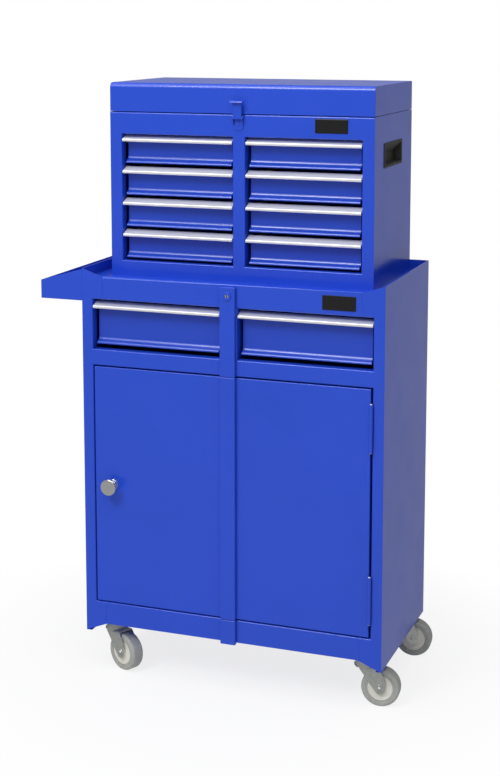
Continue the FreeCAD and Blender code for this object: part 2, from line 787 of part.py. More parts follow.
def lock_plug():
    """The turning plug with its key slot, and the cam on its back end."""
    face = -strip_proud - lock_flange_thick
    length = lock_length + lock_flange_thick + fold_gap
    plug = rod(plug_radius, (0, face, lock_axis_z), (0, 1, 0), length)
    slot = box(-key_slot_width / 2, key_slot_width / 2, face, face + key_slot_depth,
               lock_axis_z - key_slot_height / 2, lock_axis_z + key_slot_height / 2)
    back = face + length
    cam = box(-cam_width / 2, cam_width / 2, back, back + cam_thick, lock_axis_z - cam_length, lock_axis_z)
    end = bar(plug_radius, (0, back, lock_axis_z), (0, 1, 0), cam_thick, barrel_sides)
    return join(plug.cut(slot), cam, end)


def side_tray():
    """The open tray along the left side: a folded trough and two end plates."""
    inner = -half_width
    outer = inner - tray_reach
    low = rim_top - tray_below_rim
    base = box(outer, inner, sheet, inner_back, low, low + sheet)
    lip = box(outer, outer + sheet, sheet, inner_back, low, low + tray_outer)
    wall = box(inner - sheet, inner, sheet, inner_back, low, low + tray_inner)
    outline = [(outer, low), (inner, low), (inner, low + tray_inner), (outer, low + tray_outer)]
    return [join(base, lip, wall), upright(outline, 0, sheet), upright(outline, inner_back, back_face)]


def caster_places():
    """Each caster's name and the place of its swivel's axis."""
    x = half_width - caster_inset
    front, rear = caster_inset, cabinet_depth - caster_rear_inset
    return {"front_left": (-x, front), "front_right": (x, front), "rear_left": (-x, rear), "rear_right": (x, rear)}


crown_top = caster_height - caster_plate_thick - cup_depth - fold_gap
crown_under = crown_top - crown_thick


def cornered(half_x, half_y, low, high):
    """A flat plate round the swivel's axis, with its corners cut off."""
    plate = box(-half_x, half_x, -half_y, half_y, low, high)
    return plate.makeChamfer(caster_plate_corner, [e for e in plate.Edges if abs(e.tangentAt(0).z) > 0.9])


def caster_plate(x, y):
    """The fixed part of a caster: plate, race cup and king pin."""
    plate_low = caster_height - caster_plate_thick
    plate = cornered(caster_plate_x / 2, caster_plate_y / 2, plate_low, caster_height)
    cup = turned([(0, -cup_depth), (cup_radius - cup_slope, -cup_depth), (cup_radius, cup_slope - cup_depth),
                  (cup_radius, 0), (0, 0)], (0, 0, plate_low), (0, 0, 1), small_sides)
    head_top = crown_under - fold_gap
    pin = bar(king_pin_radius, (0, 0, head_top), (0, 0, 1), plate_low - head_top)
    head = bar(king_head_radius, (0, 0, head_top - king_head_thick), (0, 0, 1), king_head_thick, bolt_sides)
    piece = join(plate, cup, pin, head)
    piece.translate(Vector(x, y, 0))
    return piece


def placed(shape, name):
    """A caster piece drawn at the swivel's axis, turned and moved to its corner."""
    x, y = caster_places()[name]
    shape.rotate(Vector(0, 0, 0), Vector(0, 0, 1), caster_turns[name])
    shape.translate(Vector(x, y, 0))
    return shape


def touching(heel):
    """Where a line from the fork's heel touches its round end."""
    run = caster_trail - heel[0]
    fall = axle_z - heel[1]
    distance = math.hypot(run, fall)
    turn = math.atan2(fall, run) - math.asin(fork_end_radius / distance)
    reach = math.sqrt(distance ** 2 - fork_end_radius ** 2)
    return heel[0] + reach * math.cos(turn), heel[1] + reach * math.sin(turn)


def caster_fork(name):
    """The swivelling fork with its two legs, and the axle bolt riveted into them."""
    inner = wheel_width / 2 + fork_wheel_gap
    outer = inner + fork_thick
    crown = cornered(crown_half, outer, crown_under, crown_top)
    half = crown_half - caster_plate_corner
    heel = (-half, crown_under - fork_shoulder)
    front = [(caster_trail + x, axle_z + z) for x, z in fork_front]
    outline = [(-half, crown_top), (half, crown_top)] + front
    outline += [(caster_trail + fork_end_radius, axle_z), (caster_trail, axle_z), touching(heel), heel]
    legs = []
    for low, high in ((-outer, -inner), (inner, outer)):
        end = bar(fork_end_radius, (caster_trail, low, axle_z), (0, 1, 0), high - low)
        legs.append(join(upright(outline, low, high), end))
    crown = crown.cut(rod(king_pin_radius + pin_gap, (0, 0, crown_under), (0, 0, 1), crown_thick))
    axle = rod(axle_radius, (caster_trail, -inner, axle_z), (0, 1, 0), 2 * inner)
    head = bar(axle_head_radius, (caster_trail, -outer - axle_head_thick, axle_z), (0, 1, 0), axle_head_thick,
               bolt_sides)
    nut = bar(axle_head_radius, (caster_trail, outer, axle_z), (0, 1, 0), axle_head_thick, bolt_sides)
    return [placed(join(crown, *legs, axle, head, nut), name)]


def caster_hub(name):
    """The plastic wheel centre: boss, web and rim."""
    half = wheel_width / 2
    boss = half + fork_wheel_gap - fold_gap
    radius = hub_diameter / 2
    rim = radius - hub_rim
    web = hub_web / 2
    edge = half - hub_below_tyre
    side = [(0, boss), (hub_boss_radius, boss), (hub_boss_radius, web), (rim, web), (rim, edge), (radius, edge)]
    profile = side + [(r, -h) for r, h in reversed(side)]
    wheel = turned(profile, (caster_trail, 0, axle_z), (0, 1, 0), wheel_sides)
    return placed(wheel.cut(rod(axle_radius + pin_gap, (caster_trail, -boss, axle_z), (0, 1, 0), 2 * boss)), name)


def caster_tyre(name):
    """The rubber tyre, with rounded shoulders."""
    half = wheel_width / 2
    radius = wheel_diameter / 2
    inner = hub_diameter / 2 + seat_gap
    side = [(inner, half), (radius - tread_round, half), (radius, half - tread_round)]
    profile = side + [(r, -h) for r, h in reversed(side)]
    return placed(turned(profile, (caster_trail, 0, axle_z), (0, 1, 0), wheel_sides), name)


def make_pieces():
    """Every sub-part by name, as lists of solids."""
    pieces = {
        "chest_shell": chest_shell(),
        "chest_front_frame": [chest_front_frame()],
        "chest_inner_panels": chest_inner_panels(),
        "chest_runners": chest_runners(),
        "chest_side_grips": [side_grip(), mirrored(side_grip())],
        "chest_lid": [chest_lid()],
        "lid_hinge_body_leaf": lid_hinge_body_leaf(),
        "lid_hinge_lid_leaf": [lid_hinge_leaf(True)],
        "latch_base": latch_base(),
        "latch_lever": [latch_lever()],
        "latch_keeper": [latch_keeper()],
        "cabinet_shell": cabinet_shell(),
        "cabinet_front_frame": [cabinet_front_frame()],
        "cabinet_floor": [cabinet_floor()],
        "cabinet_top_deck": [cabinet_top_deck()],
        "cabinet_drawer_deck": cabinet_drawer_deck(),
        "cabinet_runners": cabinet_runners(),
        "cabinet_door": cabinet_door(),
        "door_knob": [door_knob()],
        "door_hinge_frame_leaves": door_hinge_frame_leaves(),
        "door_hinge_door_leaves": door_hinge_door_leaves(),
        "door_catch": [door_catch()],
        "cover_strips": cover_strips(),
        "door_strip": [door_strip()],
        "lock_cylinder": [lock_cylinder()],
        "lock_plug": [lock_plug()],
        "side_tray": side_tray(),
        "caster_plates": [caster_plate(x, y) for x, y in caster_places().values()],
    }
    columns = {"left": (-chest_open, -chest_post / 2), "right": (chest_post / 2, chest_open)}
    for side, (x0, x1) in columns.items():
        for row in range(chest_rows):
            top = chest_row_high - row * chest_row
            pieces[f"chest_drawer_{side}_{row + 1}"] = [
                drawer_box(x0, x1, chest_front, top, chest_row, chest_drawer_clear, chest_drawer_length,
                           handle_below_top)]
            pieces[f"chest_handle_{side}_{row + 1}"] = [
                drawer_handle(x0, x1, chest_front, top, handle_below_top)]
    wide = {"left": (-cabinet_open, -cabinet_post / 2), "right": (cabinet_post / 2, cabinet_open)}
    for side, (x0, x1) in wide.items():
        pieces[f"cabinet_drawer_{side}"] = [
            drawer_box(x0, x1, 0.0, row_high, cabinet_row, cabinet_drawer_clear, cabinet_drawer_length,
                       cabinet_handle_below)]
        pieces[f"cabinet_handle_{side}"] = [drawer_handle(x0, x1, 0.0, row_high, cabinet_handle_below)]
    for name in caster_places():
        pieces[f"caster_fork_{name}"] = caster_fork(name)
        pieces[f"caster_hub_{name}"] = [caster_hub(name)]
        pieces[f"caster_tyre_{name}"] = [caster_tyre(name)]
    return pieces


def main():
    """Draws the pieces, moves them to the shared origin and writes one file for each."""
    pieces = make_pieces()
    whole = Part.makeCompound([s for solids in pieces.values() for s in solids]).BoundBox
    origin = Vector((whole.XMin + whole.XMax) / 2, (whole.YMin + whole.YMax) / 2, whole.ZMin)
    os.makedirs("parts", exist_ok=True)
    for name, solids in pieces.items():
        for solid in solids:
            solid.translate(-origin)
        shape = solids[0] if len(solids) == 1 else Part.makeCompound(solids)
        shape.exportStep(f"parts/{name}.step")
    return pieces, origin


pieces, origin = main()
print(len(pieces), "sub-parts, origin moved by", origin)
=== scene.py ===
"""Dresses the tool chest and its wheeled cabinet.

It makes the rounded folds, drawer pulls, latch, lock, hinges and casters, and gives every piece its finish.
Metres, in the frame's own axes: +Z up, the front faces -Y. Sizes are written in millimetres times mm.
"""
import json
import math
import bmesh
import bpy
from mathutils import Matrix, Vector

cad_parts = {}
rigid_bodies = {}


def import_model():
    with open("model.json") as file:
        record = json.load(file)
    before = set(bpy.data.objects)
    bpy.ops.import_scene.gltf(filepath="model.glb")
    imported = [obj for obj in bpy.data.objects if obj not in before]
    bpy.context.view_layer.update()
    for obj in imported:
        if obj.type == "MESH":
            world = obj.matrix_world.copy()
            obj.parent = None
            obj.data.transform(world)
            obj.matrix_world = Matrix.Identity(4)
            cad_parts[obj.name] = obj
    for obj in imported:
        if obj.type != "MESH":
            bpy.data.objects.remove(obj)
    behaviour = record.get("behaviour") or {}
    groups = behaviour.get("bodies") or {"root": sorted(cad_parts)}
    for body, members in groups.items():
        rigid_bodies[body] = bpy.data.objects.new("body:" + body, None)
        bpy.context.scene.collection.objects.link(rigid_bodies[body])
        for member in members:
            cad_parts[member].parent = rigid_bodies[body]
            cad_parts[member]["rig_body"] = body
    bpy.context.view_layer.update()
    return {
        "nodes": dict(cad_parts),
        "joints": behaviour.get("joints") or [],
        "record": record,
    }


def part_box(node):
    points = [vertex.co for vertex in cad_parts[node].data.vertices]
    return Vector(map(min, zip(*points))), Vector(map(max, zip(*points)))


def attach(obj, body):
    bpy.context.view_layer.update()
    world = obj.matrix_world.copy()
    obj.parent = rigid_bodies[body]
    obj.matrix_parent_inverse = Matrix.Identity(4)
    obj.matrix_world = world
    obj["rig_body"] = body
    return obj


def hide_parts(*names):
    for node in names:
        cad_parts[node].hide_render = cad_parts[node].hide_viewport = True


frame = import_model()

mm = 0.001

# Sheet folds
sheet = 1.0 * mm
panel_fold = 1.6 * mm
frame_fold = 2.6 * mm
mouth_fold = 3.6 * mm
tray_fold = 1.2 * mm
lip_round = 5.0 * mm
small_fold = 0.5 * mm
cut_edge = 1.2 * mm             # a face no wider than this is the sheet's own cut edge
narrow_face = 3.0 * mm
widest_face = 10.0
nose_lip = 1.5 * mm
nose_height = 8.0 * mm
nose_forward = 10.0 * mm
nose_bend = 5.0 * mm
nose_rise = 2.5 * mm
seam_from_middle = 264.0 * mm
seam_width = 0.7 * mm
seam_depth = 0.4 * mm

# The photograph's camera, measured from the cabinet's front middle on the floor
camera_place = Vector((1039.1, -2706.4, 1312.4)) * mm
camera_yaw = math.radians(20.19)
camera_pitch = math.radians(-7.81)
camera_focal = 1551.4          # in pixels of the photograph
photo_long_side = 776.0
camera_rise = -158.0           # pixels from the picture's middle to the optical axis
sensor = 36.0

# Round pieces
round_steps = 72
small_steps = 32

# Where the main faces are
cabinet_low, cabinet_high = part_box("cabinet_front_frame")
chest_low, chest_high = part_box("chest_front_frame")
cabinet_middle = (cabinet_low.x + cabinet_high.x) / 2
chest_middle = (chest_low.x + chest_high.x) / 2
cabinet_face = cabinet_low.y
chest_face = chest_low.y
mouth = chest_high.z
lip_top = 811.0 * mm
rail_under = 101.5 * mm


def deselect_all():
    """Leaves nothing selected, because an operator acts on all that is."""
    if bpy.context.object and bpy.context.object.mode != "OBJECT":
        bpy.ops.object.mode_set(mode="OBJECT")
    bpy.ops.object.select_all(action="DESELECT")


def activate(piece):
    """Selects one piece alone, in object mode."""
    deselect_all()
    piece.select_set(True)
    bpy.context.view_layer.objects.active = piece


def edit(piece):
    """Opens one piece in edit mode, with all of it selected."""
    activate(piece)
    bpy.ops.object.mode_set(mode="EDIT")
    bpy.ops.mesh.select_all(action="SELECT")


def pick(kind, test):
    """In edit mode, selects only the faces, edges or vertices that pass the test."""
    bpy.ops.mesh.select_mode(type=kind)
    bpy.ops.mesh.select_all(action="DESELECT")
    mesh = bmesh.from_edit_mesh(bpy.context.object.data)
    for part in {"VERT": mesh.verts, "EDGE": mesh.edges, "FACE": mesh.faces}[kind]:
        if test(part):
            part.select_set(True)
    bmesh.update_edit_mesh(bpy.context.object.data)


def block(low, high):
    """A cube brought to its size and place, left open in edit mode."""
    deselect_all()
    low, high = Vector(low), Vector(high)
    bpy.ops.mesh.primitive_cube_add(size=1)
    bpy.ops.object.mode_set(mode="EDIT")
    bpy.ops.transform.resize(value=high - low)
    bpy.ops.transform.translate(value=(low + high) / 2)
    return bpy.context.object


def drawn(points):
    """A line drawn point by point, from a plane merged to one vertex, left open in edit mode."""
    deselect_all()
    bpy.ops.mesh.primitive_plane_add(size=1)
    bpy.ops.object.mode_set(mode="EDIT")
    bpy.ops.mesh.select_mode(type="VERT")
    bpy.ops.mesh.select_all(action="SELECT")
    bpy.ops.mesh.merge(type="CENTER")
    bpy.ops.mesh.select_all(action="SELECT")
    bpy.ops.transform.translate(value=points[0])
    for before, after in zip(points, points[1:]):
        bpy.ops.mesh.extrude_region_move(TRANSFORM_OT_translate={"value": Vector(after) - Vector(before)})
    return bpy.context.object


def arc(centre, radius, start, end, steps=6):
    """Points of a round stretch, angles in degrees."""
    angles = [math.radians(start + (end - start) * n / steps) for n in range(steps + 1)]
    return [(centre[0] + radius * math.cos(a), centre[1] + radius * math.sin(a)) for a in angles]


def dome(radius, height, foot=0.0):
    """The profile of a domed head that stands on its foot, from its rim to its top."""
    steps = 6
    angles = [math.pi / 2 * n / steps for n in range(steps + 1)]
    return [(radius * math.cos(a), foot + height * math.sin(a)) for a in angles]


def turned(profile, place, direction, steps=round_steps):
    """A (radius, height) profile spun about the upright axis, then stood at its place."""
    piece = drawn([(r, 0, h) for r, h in profile])
    bpy.ops.mesh.select_all(action="SELECT")
    bpy.ops.mesh.spin(steps=steps, angle=2 * math.pi, center=(0, 0, 0), axis=(0, 0, 1))
    bpy.ops.mesh.select_all(action="SELECT")
    bpy.ops.mesh.remove_doubles(threshold=0.002 * mm)
    bpy.ops.mesh.normals_make_consistent(inside=False)
    stand(piece, place, direction)
    return piece


def stand(piece, place, direction):
    """Turns a piece drawn along Z to its direction and moves it to its place, in its mesh."""
    bpy.ops.object.mode_set(mode="OBJECT")
    turn = Vector((0, 0, 1)).rotation_difference(Vector(direction)).to_matrix().to_4x4()
    piece.data.transform(Matrix.Translation(Vector(place)) @ turn)


def pushed(points, move):
    """A flat closed outline, pushed along a straight line to a solid that is left open in edit mode."""
    piece = drawn(points)
    bpy.ops.mesh.select_all(action="SELECT")
    bpy.ops.mesh.edge_face_add()
    bpy.ops.mesh.extrude_region_move(TRANSFORM_OT_translate={"value": Vector(move)})
    bpy.ops.mesh.select_all(action="SELECT")
    bpy.ops.mesh.normals_make_consistent(inside=False)
    return piece


def round_edges(radius, steps=3):
    """Bevels the selected edges of the piece that is open."""
    bpy.ops.mesh.bevel(offset=radius, segments=steps, affect="EDGES", clamp_overlap=True)


def sharp(edge, angle=25):
    """Whether an edge turns outwards by more than an angle."""
    return len(edge.link_faces) == 2 and edge.calc_face_angle_signed(0) > math.radians(angle)


def cut_across(place, direction):
    """Cuts all of the open piece by a plane, keeping both sides."""
    bpy.ops.mesh.select_all(action="SELECT")
    bpy.ops.mesh.bisect(plane_co=place, plane_no=direction)


def joined(pieces):
    """Several pieces as one object, each with its own closed shell."""
    deselect_all()
    for piece in pieces:
        piece.select_set(True)
    bpy.context.view_layer.objects.active = pieces[0]
    bpy.ops.object.join()
    return pieces[0]


def copied(piece, place):
    """A copy with its own mesh, moved by a vector or a matrix."""
    twin = bpy.data.objects.new(piece.name, piece.data.copy())
    bpy.context.collection.objects.link(twin)
    twin.data.transform(place if isinstance(place, Matrix) else Matrix.Translation(place))
    return twin


def modifier(piece, kind, **settings):
    """Adds one modifier and applies it."""
    activate(piece)
    made = piece.modifiers.new(kind.title(), kind)
    for name, value in settings.items():
        setattr(made, name, value)
    bpy.ops.object.modifier_apply(modifier=made.name)


def carve(piece, tool, keep_common=False):
    """Takes a tool's shape out of a piece, or keeps only what the two share."""
    deselect_all()
    modifier(piece, "BOOLEAN", operation="INTERSECT" if keep_common else "DIFFERENCE", solver="EXACT",
             object=tool)
    bpy.data.objects.remove(tool)
    return piece


slots = {part["node"]: part["material_slot"] for part in frame["record"]["subparts"]}


def shade(piece, reach):
    """Gives each corner the mean normal of the faces round it that lie within reach, wide faces first."""
    bpy.ops.mesh.customdata_custom_splitnormals_clear()
    bpy.ops.object.shade_smooth(keep_sharp_edges=False)
    mesh = piece.data
    nearest = math.cos(math.radians(reach))
    faces = [(face.normal.copy(), (face.area / mm ** 2) ** 2) for face in mesh.polygons]
    around = [[] for vertex in mesh.vertices]
    for number, face in enumerate(mesh.polygons):
        for vertex in face.vertices:
            around[vertex].append(number)
    normals = []
    for face in mesh.polygons:
        for vertex in face.vertices:
            near = [faces[n][0] * faces[n][1] for n in around[vertex] if faces[n][0].dot(face.normal) > nearest]
            normals.append(sum(near, Vector()).normalized())
    mesh.normals_split_custom_set(normals)


def finish(piece, name, material, node, stands_in=True, smooth=35):
    """Names, shades and paints a piece and hangs it on its node's body."""
    activate(piece)
    piece.name = name
    shade(piece, smooth)
    piece.data.materials.clear()
    piece.data.materials.append(material)
    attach(piece, frame["nodes"][node]["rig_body"])
    if stands_in:
        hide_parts(node)
    return piece


# Materials

def colour(text):
    """An sRGB hex colour as linear red, green, blue and alpha."""
    values = [int(text[n:n + 2], 16) / 255 for n in (1, 3, 5)]
    return tuple(v / 12.92 if v <= 0.04045 else ((v + 0.055) / 1.055) ** 2.4 for v in values) + (1.0,)


def add(tree, kind, inputs=(), **settings):
    """Adds a node with its settings, and its inputs as values or as the sockets that feed them."""
    made = tree.nodes.new("ShaderNode" + kind)
    for name, value in settings.items():
        setattr(made, name, value)
    for name, value in dict(inputs).items():
        if isinstance(value, bpy.types.NodeSocket):
            tree.links.new(value, made.inputs[name])
        else:
            made.inputs[name].default_value = value
    return made


def new_material(name):
    """An empty material, its node tree and its Object coordinates."""
    made = bpy.data.materials.new(name)
    made.use_nodes = True
    tree = made.node_tree
    tree.nodes.clear()
    return made, tree, add(tree, "TexCoord").outputs["Object"]


def close_material(tree, shader):
    """Joins the shader to the output."""
    output = add(tree, "OutputMaterial")
    tree.links.new(shader.outputs[0], output.inputs["Surface"])


def speckled(tree, place, size, low, high, detail=3.0, stretch=(1, 1, 1)):
    """Noise of a real size, mapped to run from low to high."""
    mapped = add(tree, "Mapping", {"Vector": place, "Scale": stretch})
    noise = add(tree, "TexNoise", {"Vector": mapped.outputs[0], "Scale": 1 / size, "Detail": detail})
    spread = add(tree, "MapRange", {"Value": noise.outputs[0], "From Min": 0.3, "From Max": 0.7,
                                    "To Min": low, "To Max": high})
    return spread.outputs[0]


def two_tones(tree, factor, first, second):
    """A colour between two."""
    mix = add(tree, "Mix", data_type="RGBA")
    tree.links.new(factor, mix.inputs[0])
    mix.inputs[6].default_value = colour(first)
    mix.inputs[7].default_value = colour(second)
    return mix.outputs[2]


def relief(tree, height, depth):
    """A bump of a real depth."""
    return add(tree, "Bump", {"Height": height, "Distance": depth, "Strength": 1.0}).outputs[0]


def baked_enamel(name, tone, darker):
    """Baked gloss enamel on sheet steel: deep even colour, mirror-like with a faint orange peel."""
    made, tree, place = new_material(name)
    cloud = speckled(tree, place, 180 * mm, 0.0, 1.0)
    peel = speckled(tree, place, 2.5 * mm, 0.0, 1.0, detail=1.0)
    rough = speckled(tree, place, 60 * mm, 0.17, 0.25)
    close_material(tree, add(tree, "BsdfPrincipled", {
        "Base Color": two_tones(tree, cloud, tone, darker), "Roughness": rough, "IOR": 1.5,
        "Normal": relief(tree, peel, 0.004 * mm)}))
    return made


def drawn_aluminium(name):
    """Extruded aluminium under a white satin oxide: fine lines along it, half metal and half matt white."""
    made, tree, place = new_material(name)
    lines = speckled(tree, place, 0.8 * mm, 0.0, 1.0, stretch=(0.01, 1, 1))
    rough = speckled(tree, place, 1.2 * mm, 0.34, 0.46, stretch=(0.01, 1, 1))
    close_material(tree, add(tree, "BsdfPrincipled", {
        "Base Color": two_tones(tree, lines, "#EDEDEF", "#F8F8F9"), "Metallic": 0.5, "Roughness": rough,
        "Normal": relief(tree, lines, 0.006 * mm)}))
    return made


def zinc_plate(name):
    """Bright zinc plating on pressed steel: pale grey metal, softly clouded."""
    made, tree, place = new_material(name)
    cloud = speckled(tree, place, 7 * mm, 0.0, 1.0)
    rough = speckled(tree, place, 2.5 * mm, 0.40, 0.55)
    close_material(tree, add(tree, "BsdfPrincipled", {
        "Base Color": two_tones(tree, cloud, "#C9CCC8", "#DADCD8"), "Metallic": 1.0, "Roughness": rough,
        "Normal": relief(tree, cloud, 0.01 * mm)}))
    return made


def polished_chrome(name):
    """Chrome plating on a turned knob: a clear mirror with faint smears."""
    made, tree, place = new_material(name)
    smear = speckled(tree, place, 9 * mm, 0.05, 0.12)
    close_material(tree, add(tree, "BsdfPrincipled", {
        "Base Color": two_tones(tree, smear, "#D9DADC", "#C9CBCE"), "Metallic": 1.0, "Roughness": smear}))
    return made


def moulded_plastic(name, tone, lighter, rough_low, rough_high):
    """Injection-moulded plastic with a fine spark-eroded grain."""
    made, tree, place = new_material(name)
    grain = speckled(tree, place, 0.7 * mm, 0.0, 1.0)
    cloud = speckled(tree, place, 14 * mm, 0.0, 1.0)
    rough = speckled(tree, place, 5 * mm, rough_low, rough_high)
    close_material(tree, add(tree, "BsdfPrincipled", {
        "Base Color": two_tones(tree, cloud, tone, lighter), "Roughness": rough, "IOR": 1.49,
        "Normal": relief(tree, grain, 0.015 * mm)}))
    return made


def grey_rubber_tread(name):
    """Grey thermoplastic rubber: matt, with the dull bloom of a new tyre."""
    made, tree, place = new_material(name)
    bloom = speckled(tree, place, 10 * mm, 0.0, 1.0)
    grain = speckled(tree, place, 0.9 * mm, 0.0, 1.0)
    close_material(tree, add(tree, "BsdfPrincipled", {
        "Base Color": two_tones(tree, bloom, "#A2A49F", "#AEAFAA"), "Roughness": 0.5, "IOR": 1.5,
        "Normal": relief(tree, grain, 0.02 * mm)}))
    return made


finishes = {
    "blue_enamel": baked_enamel("baked_enamel_royal_blue", "#234BCC", "#2149C6"),
    # The drawers' enamel is the frame's blue made a little darker: painted shade for the shade the drawers get
    # under the pulls and the frame.
    "drawer_enamel": baked_enamel("baked_enamel_drawer_blue_painted_shade", "#2247C2", "#2045BC"),
    "aluminium": drawn_aluminium("satin_anodised_aluminium"),
    "zinc": zinc_plate("bright_zinc_plate"),
    "chrome": polished_chrome("polished_chrome_plate"),
    "black_plastic": moulded_plastic("black_moulded_plastic", "#2F2F2A", "#393933", 0.55, 0.7),
    "cream_plastic": moulded_plastic("cream_polypropylene", "#DEDCD0", "#E4E2D7", 0.35, 0.45),
    "grey_rubber": grey_rubber_tread("grey_rubber"),
}
plate_black = moulded_plastic("gloss_black_plate", "#0C0C0D", "#101011", 0.12, 0.2)

for node, piece in frame["nodes"].items():
    piece.data.materials.clear()
    piece.data.materials.append(finishes[slots[node]])


# Sheet-metal pieces

def face_width(face, edge):
    """How wide a face is across one of its edges, at the widest of three places along it."""
    loop = next(each for each in face.loops if each.edge == edge)
    start, end = loop.vert.co, loop.link_loop_next.vert.co
    along = (end - start).normalized()
    inwards = face.normal.cross(along)
    widths = []
    for share in (0.25, 0.5, 0.75):
        place = start.lerp(end, share)
        depths = []
        for other in face.edges:
            first, last = ((v.co - place).dot(along) for v in other.verts)
            if other != edge and first * last < 0:
                crossing = other.verts[0].co.lerp(other.verts[1].co, first / (first - last))
                depths.append((crossing - place).dot(inwards))
        widths.append(min((depth for depth in depths if depth > 0.01 * mm), default=0.0))
    return max(widths)


def fold_test(narrow, wide):
    """A test for outside edges whose two faces both reach between narrow and wide from the edge."""
    def is_fold(edge):
        """Whether an edge passes."""
        if not sharp(edge):
            return False
        width = min(face_width(face, edge) for face in edge.link_faces)
        return narrow < width <= wide
    return is_fold


def merge_points():
    """Merges what meets in the open piece."""
    bpy.ops.mesh.select_all(action="SELECT")
    bpy.ops.mesh.remove_doubles(threshold=0.005 * mm)


def merged_copy(node, welded=False):
    """A copy of a node with its triangles merged to flat faces, and its plates made one where they are welded."""
    piece = copied(frame["nodes"][node], Vector((0, 0, 0)))
    edit(piece)
    merge_points()
    if welded:
        bpy.ops.mesh.intersect_boolean(operation="UNION", use_self=True, solver="EXACT")
        merge_points()
    bpy.ops.mesh.dissolve_limited(angle_limit=math.radians(1))
    return piece


def ends_free(edge):
    """Whether no edge as short as the sheet is thick meets either end."""
    return all(other.calc_length() > 1.5 * sheet for vertex in edge.verts for other in vertex.link_edges)


def round_folds(fold, narrow=small_fold, left_out=lambda edge: False):
    """Rounds the outside folds of the open piece, and its narrow edges a little."""
    is_fold = fold_test(narrow_face, widest_face)
    pick("EDGE", lambda e: is_fold(e) and ends_free(e) and not left_out(e))
    round_edges(fold, 4)
    pick("EDGE", lambda e: is_fold(e) and not left_out(e))
    round_edges(sheet, 3)
    if narrow:
        pick("EDGE", fold_test(cut_edge, narrow_face))
        round_edges(narrow, 2)


def folded(node, fold=panel_fold, narrow=small_fold, welded=False):
    """A sheet-metal node with its outside folds rounded."""
    piece = merged_copy(node, welded)
    round_folds(fold, narrow)
    return finish(piece, node + "_sheet", finishes[slots[node]], node)


def lengthwise_edge(edge, y, z):
    """Whether an edge runs from left to right at that depth and height."""
    return all(abs(v.co.y - y) < 0.1 * mm and abs(v.co.z - z) < 0.1 * mm for v in edge.verts)


def cabinet_front():
    """The cabinet's front, with a rolled lip between two welded seams that also show in the bottom rail."""
    piece = merged_copy("cabinet_front_frame")
    round_folds(frame_fold, left_out=lambda e: lengthwise_edge(e, cabinet_face, lip_top)
                or (e.verts[0].co.z + e.verts[1].co.z) / 2 < rail_under - 0.1 * mm)
    seams = [cabinet_middle + side * seam_from_middle for side in (-1, 1)]
    for seam in seams:
        for side in (-1, 1):
            cut_across((seam + side * seam_width / 2, 0, 0), (1, 0, 0))
    pick("EDGE", lambda e: lengthwise_edge(e, cabinet_face, lip_top)
         and all(abs(v.co.x - cabinet_middle) < seam_from_middle for v in e.verts))
    bpy.ops.mesh.bevel(offset=lip_round, segments=8, affect="EDGES", clamp_overlap=False)
    pick("FACE", lambda f: f.normal.y < -0.99 and abs(f.calc_center_median().y - cabinet_face) < 0.1 * mm
         and any(abs(f.calc_center_median().x - seam) < seam_width / 3 for seam in seams)
         and (f.calc_center_median().z > 760 * mm or f.calc_center_median().z < 150 * mm))
    bpy.ops.mesh.extrude_region_move(TRANSFORM_OT_translate={"value": (0, seam_depth, 0)})
    return finish(piece, "cabinet_front_frame_sheet", finishes["blue_enamel"], "cabinet_front_frame")


def chest_front():
    """The chest's front, with a wider round along its mouth."""
    piece = merged_copy("chest_front_frame")
    for end in (chest_low.x + 2 * sheet, chest_high.x - 2 * sheet):
        cut_across((end, 0, 0), (1, 0, 0))
    pick("EDGE", lambda e: lengthwise_edge(e, chest_face, mouth) and e.calc_length() > 20 * mm)
    round_edges(mouth_fold, 6)
    round_folds(frame_fold)
    return finish(piece, "chest_front_frame_sheet", finishes["blue_enamel"], "chest_front_frame")


def drawer(node):
    """A drawer, with the hollow bend above its sloping nose and the round below it."""
    piece = merged_copy(node)
    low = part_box(node)[0]
    nose_low = low.z + nose_lip
    nose_top = nose_low + nose_height
    panel = low.y + nose_forward
    pick("EDGE", lambda e: lengthwise_edge(e, panel, nose_top) and e.calc_length() > 20 * mm)
    round_edges(nose_bend, 6)
    pick("VERT", lambda v: abs(v.co.y - low.y) < 0.1 * mm and abs(v.co.z - nose_low) < 0.1 * mm)
    bpy.ops.transform.translate(value=(0, 0, nose_rise))
    pick("EDGE", lambda e: lengthwise_edge(e, low.y, nose_low + nose_rise))
    round_edges(nose_lip + nose_rise - 0.2 * mm, 6)
    round_folds(panel_fold)
    return finish(piece, node + "_sheet", finishes[slots[node]], node)


def sheet_pieces():
    """Every folded panel."""
    plain = ["chest_lid", "chest_inner_panels", "chest_runners", "cabinet_door", "cabinet_floor",
             "cabinet_top_deck", "cabinet_drawer_deck", "cabinet_runners", "door_strip", "cover_strips"]
    for node in plain:
        folded(node)
    for node in sorted(frame["nodes"]):
        if "_drawer_left" in node or "_drawer_right" in node:
            drawer(node)
    folded("door_catch", small_fold)
    folded("side_tray", tray_fold, 0, welded=True)
    cabinet_front()
    chest_front()


# Drawer pulls

pull_wall = 2.0 * mm
pull_lip_thick = 4.0 * mm
pull_fall = 7.0 * mm
pull_hook = 10.0 * mm


